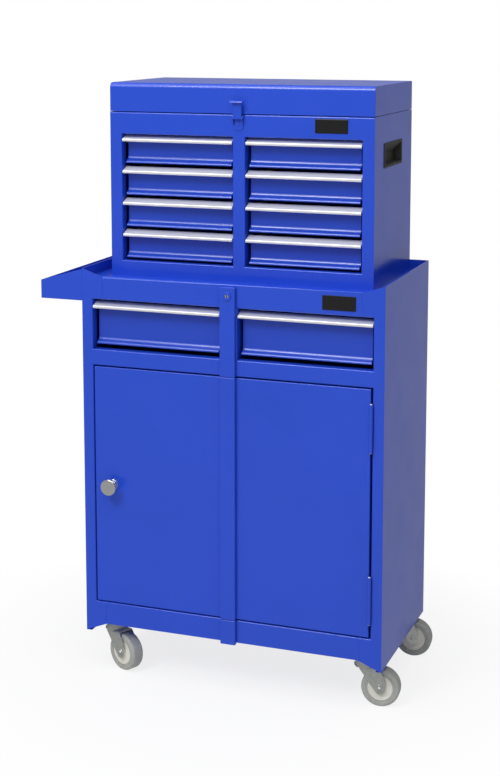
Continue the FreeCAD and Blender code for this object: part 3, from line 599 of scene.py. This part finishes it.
def drawer_pull(node):
    """The aluminium strip: a sloping top, a rounded lip in front and a hook behind the panel's top."""
    low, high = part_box(node)
    front, back, top, foot = low.y, high.y, high.z, low.z
    nose = pull_lip_thick / 2
    lip_high = top - pull_fall
    outline = [(back, top)]
    outline += arc((front + nose, lip_high - nose), nose, 75, 180)
    outline += arc((front + nose, foot + nose), nose, 180, 360)
    outline += [(front + pull_lip_thick, lip_high - pull_wall), (back - pull_wall, top - pull_wall * 1.4),
                (back - pull_wall, top - pull_hook), (back, top - pull_hook)]
    piece = pushed([(low.x, y, z) for y, z in outline], (high.x - low.x, 0, 0))
    pick("EDGE", lambda e: e.calc_face_angle(0) > math.radians(80) and e.calc_length() < pull_hook * 2
         and abs(e.verts[0].co.x - e.verts[1].co.x) < mm)
    round_edges(0.4 * mm, 2)
    return finish(piece, node + "_strip", finishes["aluminium"], node)


# Latch on the chest's middle

latch_axis_y = chest_face - 6.5 * mm
latch_axis_z = mouth - 6.5 * mm
latch_half = 10.0 * mm
latch_plate = 1.5 * mm
latch_ear = 1.2 * mm
latch_barrel = 3.0 * mm
latch_pin = 1.5 * mm
latch_foot = mouth - 31.0 * mm
latch_head = mouth - 2.5 * mm
ear_foot = mouth - 21.5 * mm
pin_head = 2.3 * mm
rivet_radius = 2.7 * mm


def latch_base():
    """The latch's plate with its rounded foot, two ears, pin and rivets."""
    outline = [(chest_middle + latch_half, latch_head)]
    outline += arc((chest_middle, latch_foot + latch_half), latch_half, 0, -180, 20)
    outline += [(chest_middle - latch_half, latch_head)]
    plate = pushed([(x, chest_face, z) for x, z in outline], (0, -latch_plate, 0))
    pick("EDGE", lambda e: all(v.co.y < chest_face - latch_plate * 0.9 for v in e.verts))
    round_edges(small_fold, 3)
    pieces = [plate]
    side = arc((latch_axis_y, latch_axis_z), latch_barrel, 90, 200, 8)
    side += [(chest_face - 4.2 * mm, ear_foot + 3.5 * mm), (chest_face - 2.4 * mm, ear_foot),
             (chest_face - mm, ear_foot), (chest_face - mm, latch_axis_z + latch_barrel)]
    for x in (chest_middle - latch_half, chest_middle + latch_half - latch_ear):
        ear = pushed([(x, y, z) for y, z in side], (latch_ear, 0, 0))
        pick("EDGE", lambda e: sharp(e, 60))
        round_edges(0.25 * mm, 2)
        pieces.append(ear)
    head = latch_half + 0.8 * mm
    profile = [(0, -head), (latch_pin, -head), (pin_head, 0.5 * mm - head), (pin_head, -latch_half),
               (latch_pin, -latch_half)]
    profile += [(r, -h) for r, h in reversed(profile)]
    pieces.append(turned(profile, (chest_middle, latch_axis_y, latch_axis_z), (1, 0, 0), small_steps))
    for below in (11.5, 19.5):
        place = (chest_middle, chest_face - latch_plate, mouth - below * mm)
        pieces.append(turned([(0, -0.3 * mm), (rivet_radius, -0.3 * mm)] + dome(rivet_radius, 1.8 * mm), place,
                             (0, -1, 0), small_steps))
    return finish(joined(pieces), "latch_base_riveted", finishes["blue_enamel"], "latch_base")


def latch_lever():
    """The bent lever: a flared tab with a rolled nose, a narrower waist and a rolled barrel."""
    thick = 1.6 * mm
    front = latch_axis_y - latch_barrel
    top = mouth + 26.5 * mm
    fall = 15
    bend, nose = 1.5 * mm, 4.4 * mm
    lean = math.radians(90 + fall)
    up = Vector((math.cos(lean), math.sin(lean)))
    ahead = Vector((-up.y, up.x))
    centre = Vector((front - bend, top - thick - bend))
    far = centre + up * (bend + thick - nose) + ahead * 0.6 * mm
    end = math.radians(90 + 5 * fall)
    tip = far + Vector((math.cos(end), math.sin(end))) * (nose - thick / 2)
    foot = latch_axis_z + 0.3 * mm
    outline = [(front + thick, foot)] + arc(centre, bend + thick, 0, 90 + fall, 8)
    outline += arc(far, nose, 90 + fall, 90 + 5 * fall, 8)
    outline += arc(tip, thick / 2, 90 + 5 * fall + 30, 270 + 5 * fall - 30, 4)
    outline += arc(far, nose - thick, 90 + 5 * fall, 90 + fall, 8) + arc(centre, bend, 90 + fall, 0, 8)
    outline += [(front, foot)]
    flare = 12.5 * mm
    plate = pushed([(chest_middle - flare, y, z) for y, z in outline], (2 * flare, 0, 0))
    shoulder = latch_axis_z + latch_barrel + 1.9 * mm
    tab = 7.0 * mm
    waist_half = 8.5 * mm
    for height in (top - tab, shoulder, shoulder - thick):
        cut_across((0, 0, height), (0, 0, 1))
    for height, half in ((top - tab, 9.0 * mm), (shoulder - thick, waist_half)):
        pick("VERT", lambda v: v.co.z < height + 0.1 * mm)
        bpy.ops.transform.resize(value=(half / flare, 1, 1), center_override=(chest_middle, 0, 0))
        flare = half
    pick("EDGE", lambda e: sharp(e, 60) and abs(e.verts[0].co.x - e.verts[1].co.x) < mm)
    round_edges(0.3 * mm, 2)
    bore, half = latch_pin + 0.1 * mm, waist_half
    profile = [(bore, -half), (latch_barrel, -half), (latch_barrel, half), (bore, half), (bore, -half)]
    barrel = turned(profile, (chest_middle, latch_axis_y, latch_axis_z), (1, 0, 0), small_steps)
    return finish(joined([plate, barrel]), "latch_lever_bent", finishes["blue_enamel"], "latch_lever")


# Knob, lock and bare plates

def door_knob():
    """A mushroom knob with a domed face."""
    low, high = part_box("door_knob")
    middle = (low + high) / 2
    radius = (high.z - low.z) / 2
    reach = high.y - low.y
    rim = 3.2 * mm
    neck = 6.0 * mm
    base = 11.0 * mm
    profile = [(0, 0), (base, 0), (base, 1.2 * mm)]
    profile += arc((base - 1.2 * mm, 1.2 * mm), 1.2 * mm, 20, 90, 4)
    profile += arc((neck + 2.5 * mm, 4.9 * mm), 2.5 * mm, 270, 180, 5)
    profile += arc((neck + 6.0 * mm, reach - 13.2 * mm), 6.0 * mm, 180, 90, 6)
    profile += arc((radius - rim, reach - 4.0 * mm), rim, -90, 60, 10)
    profile += [(radius * 0.72, reach - 0.7 * mm), (radius * 0.4, reach - 0.2 * mm), (0, reach)]
    piece = turned(profile, (middle.x, high.y, middle.z), (0, -1, 0))
    return finish(piece, "door_knob_turned", finishes["chrome"], "door_knob")


lock_collar = 2.5 * mm
lock_radius = 7.0 * mm
lock_plug_radius = 4.5 * mm
plug_face = 1.2 * mm
slot_half_width = 1.4 * mm
slot_half_height = 3.5 * mm
slot_depth = 9.5 * mm


def lock():
    """The lock's barrel with its rounded collar, and the plug with its key slot and cam."""
    low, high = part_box("lock_cylinder")
    middle = (low + high) / 2
    face = Vector((middle.x, low.y + lock_collar, middle.z))
    depth = high.y - low.y - lock_collar
    bore, hole = lock_plug_radius + 0.1 * mm, 3.7 * mm
    profile = [(bore, 1.3 * mm), (hole, 1.3 * mm), (hole, 2.1 * mm), (hole + 0.4 * mm, lock_collar)]
    profile += arc((lock_radius, 1.0 * mm), 1.5 * mm, 90, 0, 6)
    profile += [(lock_radius + 1.5 * mm, 0), (lock_radius, 0), (lock_radius, -depth), (bore, -depth),
                (bore, 1.3 * mm)]
    finish(turned(profile, face, (0, -1, 0)), "lock_barrel", finishes["blue_enamel"], "lock_cylinder")
    cam_low, cam_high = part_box("lock_plug")
    back = cam_high.y - 2.0 * mm
    depth = back - face.y
    radius = lock_plug_radius
    profile = [(0, plug_face), (radius - 0.5 * mm, plug_face), (radius, plug_face - 0.5 * mm), (radius, -depth),
               (0, -depth)]
    plug = turned(profile, face, (0, -1, 0))
    carve(plug, block((middle.x - slot_half_width, face.y - 3 * mm, middle.z - slot_half_height),
                      (middle.x + slot_half_width, face.y + slot_depth, middle.z + slot_half_height)))
    outline = arc((middle.x, middle.z), radius, 0, 180, 12) + [(middle.x - radius, cam_low.z + mm),
                                                               (middle.x + radius, cam_low.z + mm)]
    cam = pushed([(x, back, z) for x, z in outline], (0, cam_high.y - back, 0))
    pick("EDGE", lambda e: sharp(e, 60))
    round_edges(0.4 * mm, 2)
    finish(joined([plug, cam]), "lock_plug_and_cam", finishes["chrome"], "lock_plug")


def bare_plate(name, node, x0, x1, z0, z1, face):
    """A plate with a raised rim and nothing on it."""
    thick = 1.2 * mm
    piece = block((x0, face - thick, z0), (x1, face, z1))
    pick("EDGE", lambda e: abs(e.verts[0].co.y - e.verts[1].co.y) > thick / 2)
    round_edges(1.5 * mm, 4)
    pick("EDGE", lambda e: sharp(e, 60) and all(v.co.y < face - thick / 2 for v in e.verts))
    round_edges(0.5 * mm, 3)
    pick("FACE", lambda f: f.normal.y < -0.9)
    bpy.ops.mesh.inset(thickness=1.3 * mm)
    bpy.ops.mesh.extrude_region_move(TRANSFORM_OT_translate={"value": (0, 0.4 * mm, 0)})
    return finish(piece, name, plate_black, node, stands_in=False)


def bare_plates():
    """Two plates, on the chest's header and on the cabinet's."""
    bare_plate("chest_plate", "chest_front_frame", chest_middle + 153 * mm, chest_middle + 217 * mm,
               mouth - 32 * mm, mouth - 5 * mm, chest_face)
    bare_plate("cabinet_plate", "cabinet_front_frame", cabinet_middle + 187 * mm, cabinet_middle + 252 * mm,
               lip_top - 36.5 * mm, lip_top - 8.9 * mm, cabinet_face)


# Hinges

running_gap = 0.05 * mm
knuckle_split = 0.4 * mm


def hinge_barrel(radius, bore, length):
    """One rolled knuckle along Z, with slightly rounded ends."""
    soft = 0.3 * mm
    profile = [(bore, soft), (bore + soft, 0), (radius - soft, 0), (radius, soft), (radius, length - soft),
               (radius - soft, length), (bore + soft, length), (bore, length - soft), (bore, soft)]
    return turned(profile, (0, 0, 0), (0, 0, 1), small_steps)


def plain_block(low, high):
    """A small plate with softened edges."""
    piece = block(low, high)
    round_edges(0.2 * mm, 2)
    bpy.ops.object.mode_set(mode="OBJECT")
    return piece


def rivet(place, direction, radius=3.0 * mm, height=1.2 * mm):
    """A domed rivet head."""
    return turned([(0, -0.3 * mm), (radius, -0.3 * mm)] + dome(radius, height), place, direction, 20)


def door_hinges():
    """Two barrel hinges: the frame's leaves with their pins, and the door's leaves."""
    low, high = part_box("door_hinge_frame_leaves")
    length = 92.0 * mm
    third = length / 3
    radius, pin, head = 3.5 * mm, 1.6 * mm, 2.9 * mm
    axis = Vector(((low.x + high.x) / 2, low.y + radius, 0))
    knuckle = hinge_barrel(radius, pin + running_gap, third - knuckle_split)
    frame_side, door_side, heads = [], [], []
    for start in (low.z, high.z - length):
        for n in range(3):
            pieces, side = (door_side, -1) if n == 1 else (frame_side, 1)
            foot = start + n * third + knuckle_split / 2
            pieces.append(copied(knuckle, axis + Vector((0, 0, foot))))
            inner, outer = sorted((axis.x + side * mm, axis.x + side * 2 * mm))
            pieces.append(plain_block((inner, axis.y + pin + 0.3 * mm, foot),
                                      (outer, cabinet_face + 2 * sheet, foot + third - knuckle_split)))
        for pieces, side in ((door_side, -1), (frame_side, 1)):
            inner, outer = sorted((axis.x + side * mm, axis.x + side * 2 * mm))
            pieces.append(plain_block((inner, cabinet_face + sheet, start),
                                      (outer, cabinet_face + 11 * sheet, start + length)))
            for n in range(3):
                place = (axis.x + side * mm, cabinet_face + 7 * mm, start + (n + 0.5) * third)
                pieces.append(rivet(place, (-side, 0, 0), 2.4 * mm, 0.6 * mm))
        middle = axis + Vector((0, 0, start + length / 2))
        frame_side.append(turned([(0, -length / 2), (pin, -length / 2), (pin, length / 2), (0, length / 2)],
                                 middle, (0, 0, 1), small_steps))
        for way in (-1, 1):
            heads.append(turned([(0, 0), (head, 0)] + dome(head, 1.8 * mm, 0.2 * mm),
                                middle + Vector((0, 0, way * length / 2)), (0, 0, way), small_steps))
    bpy.data.objects.remove(knuckle)
    for pieces, name in ((frame_side, "door_hinge_frame_leaves"), (door_side, "door_hinge_door_leaves")):
        finish(joined(pieces), name + "_rolled", finishes["blue_enamel"], name)
    finish(joined(heads), "door_hinge_pin_heads", finishes["zinc"], "door_hinge_frame_leaves", stands_in=False)


def lid_hinge():
    """The long rear hinge, with knuckles that belong by turns to the chest and to the lid."""
    low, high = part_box("lid_hinge_body_leaf")
    radius, pin = 2.6 * mm, 1.25 * mm
    count, rivets = 34, 8
    pitch = (high.x - low.x) / count
    axis_y, axis_z = high.y - radius, high.z - radius
    back = axis_y - radius
    knuckle = hinge_barrel(radius, pin + running_gap, pitch - knuckle_split)
    stand(knuckle, (0, 0, 0), (1, 0, 0))
    tab = plain_block((0, back, -radius - 0.8 * mm), (pitch - knuckle_split, back + sheet, -pin))
    sides = {"lid_hinge_body_leaf": [], "lid_hinge_lid_leaf": []}
    for n in range(count):
        upper = n % 2
        place = Vector((low.x + n * pitch + knuckle_split / 2, 0, axis_z))
        pieces = sides["lid_hinge_lid_leaf" if upper else "lid_hinge_body_leaf"]
        pieces.append(copied(knuckle, place + Vector((0, axis_y, 0))))
        pieces.append(copied(tab, place + Vector((0, 0, radius + 0.8 * mm + pin if upper else 0))))
    for node, pieces in sides.items():
        leaf_low, leaf_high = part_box(node)
        near, far = ((axis_z - 3.0 * mm, leaf_low.z) if node == "lid_hinge_body_leaf"
                     else (axis_z + 3.0 * mm, leaf_high.z))
        pieces.append(plain_block((low.x, back, min(near, far)), (high.x, back + sheet, max(near, far))))
        for n in range(rivets):
            place = (low.x + (n + 0.5) * (high.x - low.x) / rivets, back + sheet, (near + far) / 2)
            pieces.append(rivet(place, (0, 1, 0)))
    sides["lid_hinge_body_leaf"].append(
        turned([(0, 0), (pin, 0), (pin, high.x - low.x), (0, high.x - low.x)],
               (low.x, axis_y, axis_z), (1, 0, 0), small_steps))
    for spare in (knuckle, tab):
        bpy.data.objects.remove(spare)
    for node, pieces in sides.items():
        finish(joined(pieces), node + "_rolled", finishes["zinc"], node)


# Casters, drawn once round the swivel's axis with the wheel behind it along +X

wheel_radius = 37.5 * mm
wheel_half = 13.5 * mm
hub_radius = 25.0 * mm
trail = 32.0 * mm
axle = Vector((trail, 0, wheel_radius))
fork_inner = 15.0 * mm
fork_outer = 17.5 * mm
fork_end = 10.5 * mm
crown_top = 92.7 * mm
crown_under = 89.7 * mm
slab_top = 80.0 * mm
crown_round = 21.0 * mm
plate_low = 99.5 * mm
floor_under = 102.5 * mm


def tyre():
    """A tyre with rounded shoulders, a flat crown and a shallow step on its sides."""
    inner = hub_radius + running_gap
    round_off = 5.0 * mm
    tread = wheel_radius - 0.02 * mm
    step = wheel_radius - 9.0 * mm
    half = [(inner, wheel_half - 0.6 * mm), (step, wheel_half - 0.6 * mm), (step + 0.6 * mm, wheel_half)]
    half += arc((tread - round_off, wheel_half - round_off), round_off, 88, 2, 8)
    half += [(tread, wheel_half - round_off - 2 * mm)]
    profile = half + [(r, -h) for r, h in reversed(half)] + [half[0]]
    return turned(profile, axle, (0, 1, 0))


def wheel_centre():
    """The plastic centre: bore, boss, a disc hardly below its rim, the same on both sides."""
    boss = wheel_half + 1.2 * mm
    edge = wheel_half - 1.0 * mm
    disc = edge - 0.6 * mm
    half = [(4.05 * mm, boss), (8.2 * mm, boss)] + arc((8.2 * mm, boss - 0.8 * mm), 0.8 * mm, 70, 0, 3)
    half += arc((11.0 * mm, disc + 1.6 * mm), 1.6 * mm, 190, 270, 4)
    half += [(hub_radius - 4.0 * mm, disc), (hub_radius - 3.4 * mm, disc + 0.15 * mm),
             (hub_radius - 2.8 * mm, edge - 0.1 * mm), (hub_radius - 2.2 * mm, edge)]
    half += [(hub_radius - 0.5 * mm, edge), (hub_radius, edge - 0.5 * mm)]
    profile = half + [(r, -h) for r, h in reversed(half)] + [half[0]]
    return turned(profile, axle, (0, 1, 0))


def fork():
    """The pressed fork under its dished crown, with the axle's washer and domed head on each side."""
    bend = 5.0 * mm
    thick = fork_outer - fork_inner
    foot = wheel_radius - fork_end - mm
    inner_bend = bend - thick
    right = arc((fork_outer - bend, slab_top - bend), bend, 90, 0, 8) + [(fork_outer, foot), (fork_inner, foot)]
    right += arc((fork_inner - inner_bend, slab_top - bend), inner_bend, 0, 90, 6)
    left = [(-y, z) for y, z in reversed(right)]
    bent = pushed([(-30 * mm, y, z) for y, z in right + left], (80 * mm, 0, 0))
    bpy.ops.object.mode_set(mode="OBJECT")
    side = [(-30, 82), (29, 82), (29.8, 79), (31, 76.5), (38, 64.5), (42.3, 50)]
    side = [(x * mm, z * mm) for x, z in side]
    side += arc((trail, wheel_radius), fork_end, 0, -133, 14) + [(-9.5 * mm, 76.9 * mm), (-30 * mm, 76.9 * mm)]
    cheeks = pushed([(x, -20 * mm, z) for x, z in side], (0, 40 * mm, 0))
    pick("EDGE", lambda e: abs(e.verts[0].co.y - e.verts[1].co.y) > 10 * mm and sharp(e, 9)
         and 60 * mm < e.verts[0].co.z < 80 * mm)
    round_edges(5 * mm, 5)
    bpy.ops.object.mode_set(mode="OBJECT")
    carve(bent, cheeks, keep_common=True)
    plan = arc((0, 0), crown_round, 90, 270, 24) + [(60 * mm, -crown_round), (60 * mm, crown_round)]
    round_back = pushed([(x, y, 0) for x, y in plan], (0, 0, 0.1))
    bpy.ops.object.mode_set(mode="OBJECT")
    carve(bent, round_back, keep_common=True)
    carve(bent, turned([(0, 70 * mm), (17 * mm, 70 * mm), (17 * mm, 99 * mm), (0, 99 * mm)],
                       (0, 0, 0), (0, 0, 1), 48))
    edit(bent)
    pick("EDGE", lambda e: sharp(e, 60))
    round_edges(0.4 * mm, 2)
    under = slab_top - thick
    dish = [(r * mm, h) for r, h in ((19.6, under + 0.2 * mm), (19.6, slab_top + mm), (18.8, slab_top + 3 * mm))]
    dish += arc((15.2 * mm, crown_top - 2.4 * mm), 2.4 * mm, 10, 90, 5)
    dish += [(5.1 * mm, crown_top), (5.1 * mm, crown_under), (12.5 * mm, crown_under), (16.9 * mm, slab_top + mm),
             (16.9 * mm, under + 0.2 * mm), (19.6 * mm, under + 0.2 * mm)]
    dish = turned(dish, (0, 0, 0), (0, 0, 1), 48)
    washer, head = 8.0 * mm, 4.6 * mm
    out = fork_outer + 0.9 * mm
    half = [(4.0 * mm, 0), (4.0 * mm, fork_inner), (washer, fork_inner + mm), (washer, out - 0.3 * mm),
            (washer - 0.3 * mm, out), (head, out), (head, out + 0.6 * mm)]
    half += dome(head, 2.0 * mm, out + 0.6 * mm)[1:]
    profile = [(r, -h) for r, h in reversed(half)] + half[1:]
    bolt = turned(profile, axle, (0, 1, 0), 48)
    return joined([bent, dish, bolt])


def hexagon_head(radius, thick, place, direction):
    """A bolt's six-sided head with a chamfered face."""
    profile = [(0, 0), (radius, 0), (radius, thick * 0.8), (radius * 0.86, thick), (0, thick)]
    return turned(profile, place, direction, 6)


def caster_plate():
    """The plate that is bolted under the floor, its race cup and its king pin."""
    plate = block((-30 * mm, -26 * mm, plate_low), (30 * mm, 26 * mm, floor_under))
    pick("EDGE", lambda e: abs(e.verts[0].co.z - e.verts[1].co.z) > mm)
    round_edges(7 * mm, 5)
    pick("EDGE", lambda e: sharp(e, 60) and all(v.co.z < plate_low + 0.1 * mm for v in e.verts))
    round_edges(0.6 * mm, 2)
    profile = [(0, 0), (20 * mm, 0), (20 * mm, 2.2 * mm)] + arc((16.5 * mm, 3.0 * mm), 3.5 * mm, 0, 90, 6)
    pieces = [plate, turned(profile + [(0, 6.5 * mm)], (0, 0, plate_low), (0, 0, -1), 48)]
    pieces.append(turned([(0, 0), (5 * mm, 0), (5 * mm, 13.4 * mm)] + dome(8 * mm, 2.6 * mm, 10.5 * mm),
                         (0, 0, plate_low), (0, 0, -1), small_steps))
    for x in (-23, 23):
        for y in (-19.5, 19.5):
            place = Vector((x, y, 0)) * mm + Vector((0, 0, plate_low))
            pieces.append(turned([(0, 0), (6.2 * mm, 0), (6.2 * mm, 0.8 * mm), (0, 0.8 * mm)], place,
                                 (0, 0, -1), 24))
            pieces.append(hexagon_head(5.0 * mm, 3.2 * mm, place + Vector((0, 0, -0.8 * mm)), (0, 0, -1)))
    return joined(pieces)


def casters():
    """The four casters, each wheel turned as its axle lies in the frame."""
    joints = {joint["name"]: joint for joint in frame["joints"]}
    patterns = {"fork": (fork(), "zinc"), "hub": (wheel_centre(), "cream_plastic"),
                "tyre": (tyre(), "grey_rubber")}
    plate = caster_plate()
    plates = []
    for corner in ("front_left", "front_right", "rear_left", "rear_right"):
        place = Vector(joints["swivel_" + corner]["pos_m"])
        axis = joints["spin_" + corner]["axis"]
        ground = Matrix.Translation((place.x, place.y, 0))
        turn = ground @ Matrix.Rotation(math.atan2(-axis[0], axis[1]), 4, "Z")
        plates.append(copied(plate, ground))
        for part, (pattern, slot) in patterns.items():
            node = "caster_" + part + "_" + corner
            finish(copied(pattern, turn), node + "_shaped", finishes[slot], node, smooth=40)
    for pattern in (plate, *(pattern for pattern, slot in patterns.values())):
        bpy.data.objects.remove(pattern)
    finish(joined(plates), "caster_plates_bolted", finishes["zinc"], "caster_plates")


sheet_pieces()
for node in sorted(frame["nodes"]):
    if "_handle_" in node:
        drawer_pull(node)
latch_base()
latch_lever()
folded("latch_keeper", small_fold)
door_knob()
lock()
bare_plates()
door_hinges()
lid_hinge()
casters()


# Stage, lamps and camera

def studio_floor():
    """A pale floor that turns to the white of the backdrop away from the object."""
    deselect_all()
    bpy.ops.mesh.primitive_plane_add(size=60)
    floor = bpy.context.object
    floor.name = "studio_floor"
    made, tree, place = new_material("pale_floor")
    plain = add(tree, "BsdfDiffuse", {"Color": colour("#F4F4F4")})
    white = add(tree, "Emission", {"Color": (1, 1, 1, 1), "Strength": 1.0})
    grey = add(tree, "Emission", {"Color": (1, 1, 1, 1), "Strength": 0.42})
    reach = add(tree, "VectorMath", {0: place}, operation="LENGTH").outputs["Value"]
    fade = add(tree, "MapRange", {"Value": reach, "From Min": 0.25, "From Max": 0.75, "To Min": 0.8})
    path = add(tree, "LightPath")
    both = add(tree, "Math", {0: fade.outputs[0], 1: path.outputs["Is Camera Ray"]}, operation="MULTIPLY")
    seen = add(tree, "MixShader", {0: both.outputs[0], 1: plain.outputs[0], 2: white.outputs[0]})
    mirrored = add(tree, "MixShader", {0: path.outputs["Is Glossy Ray"], 1: seen.outputs[0], 2: grey.outputs[0]})
    close_material(tree, mirrored)
    floor.data.materials.append(made)


def backdrop():
    """A world that is white to the camera, pale grey in reflections and dim to everything else."""
    world = bpy.data.worlds.new("white_room")
    bpy.context.scene.world = world
    world.use_nodes = True
    tree = world.node_tree
    tree.nodes.clear()
    path = add(tree, "LightPath")
    dim = add(tree, "Background", {"Color": (1, 1, 1, 1), "Strength": 0.24})
    mirrored = add(tree, "Background", {"Color": (1, 1, 1, 1), "Strength": 0.36})
    white = add(tree, "Background", {"Color": (1, 1, 1, 1), "Strength": 1.0})
    first = add(tree, "MixShader", {0: path.outputs["Is Glossy Ray"], 1: dim.outputs[0], 2: mirrored.outputs[0]})
    second = add(tree, "MixShader", {0: path.outputs["Is Camera Ray"], 1: first.outputs[0], 2: white.outputs[0]})
    output = add(tree, "OutputWorld")
    tree.links.new(second.outputs[0], output.inputs["Surface"])


def softbox(name, place, target, width, height, power):
    """A soft rectangular lamp that faces its target."""
    data = bpy.data.lights.new(name, "AREA")
    data.shape = "RECTANGLE"
    data.size = width
    data.size_y = height
    data.energy = power
    lamp = bpy.data.objects.new(name, data)
    bpy.context.collection.objects.link(lamp)
    lamp.location = place
    lamp.rotation_mode = "QUATERNION"
    lamp.rotation_quaternion = (Vector(target) - Vector(place)).to_track_quat("-Z", "Y")


def photograph_camera():
    """The camera that the photograph was taken with, as fitted to the object's corners."""
    data = bpy.data.cameras.new("photograph_camera")
    data.sensor_width = sensor
    data.lens = camera_focal * sensor / photo_long_side
    data.shift_y = camera_rise / photo_long_side
    camera = bpy.data.objects.new("photograph_camera", data)
    bpy.context.collection.objects.link(camera)
    camera.location = Vector((cabinet_middle, cabinet_face, 0)) + camera_place
    ahead = Vector((-math.sin(camera_yaw) * math.cos(camera_pitch), math.cos(camera_yaw) * math.cos(camera_pitch),
                    math.sin(camera_pitch)))
    camera.rotation_mode = "QUATERNION"
    camera.rotation_quaternion = ahead.to_track_quat("-Z", "Y")
    bpy.context.scene.camera = camera


studio_floor()
backdrop()
softbox("key_softbox", (-2.36, -5.83, 6.8), (0, 0, 0.4), 2.2, 2.2, 215)
softbox("top_softbox", (0.0, -1.3, 2.9), (0, 0, 0.6), 3.2, 3.2, 66)
photograph_camera()
bpy.context.scene.view_settings.view_transform = "Standard"
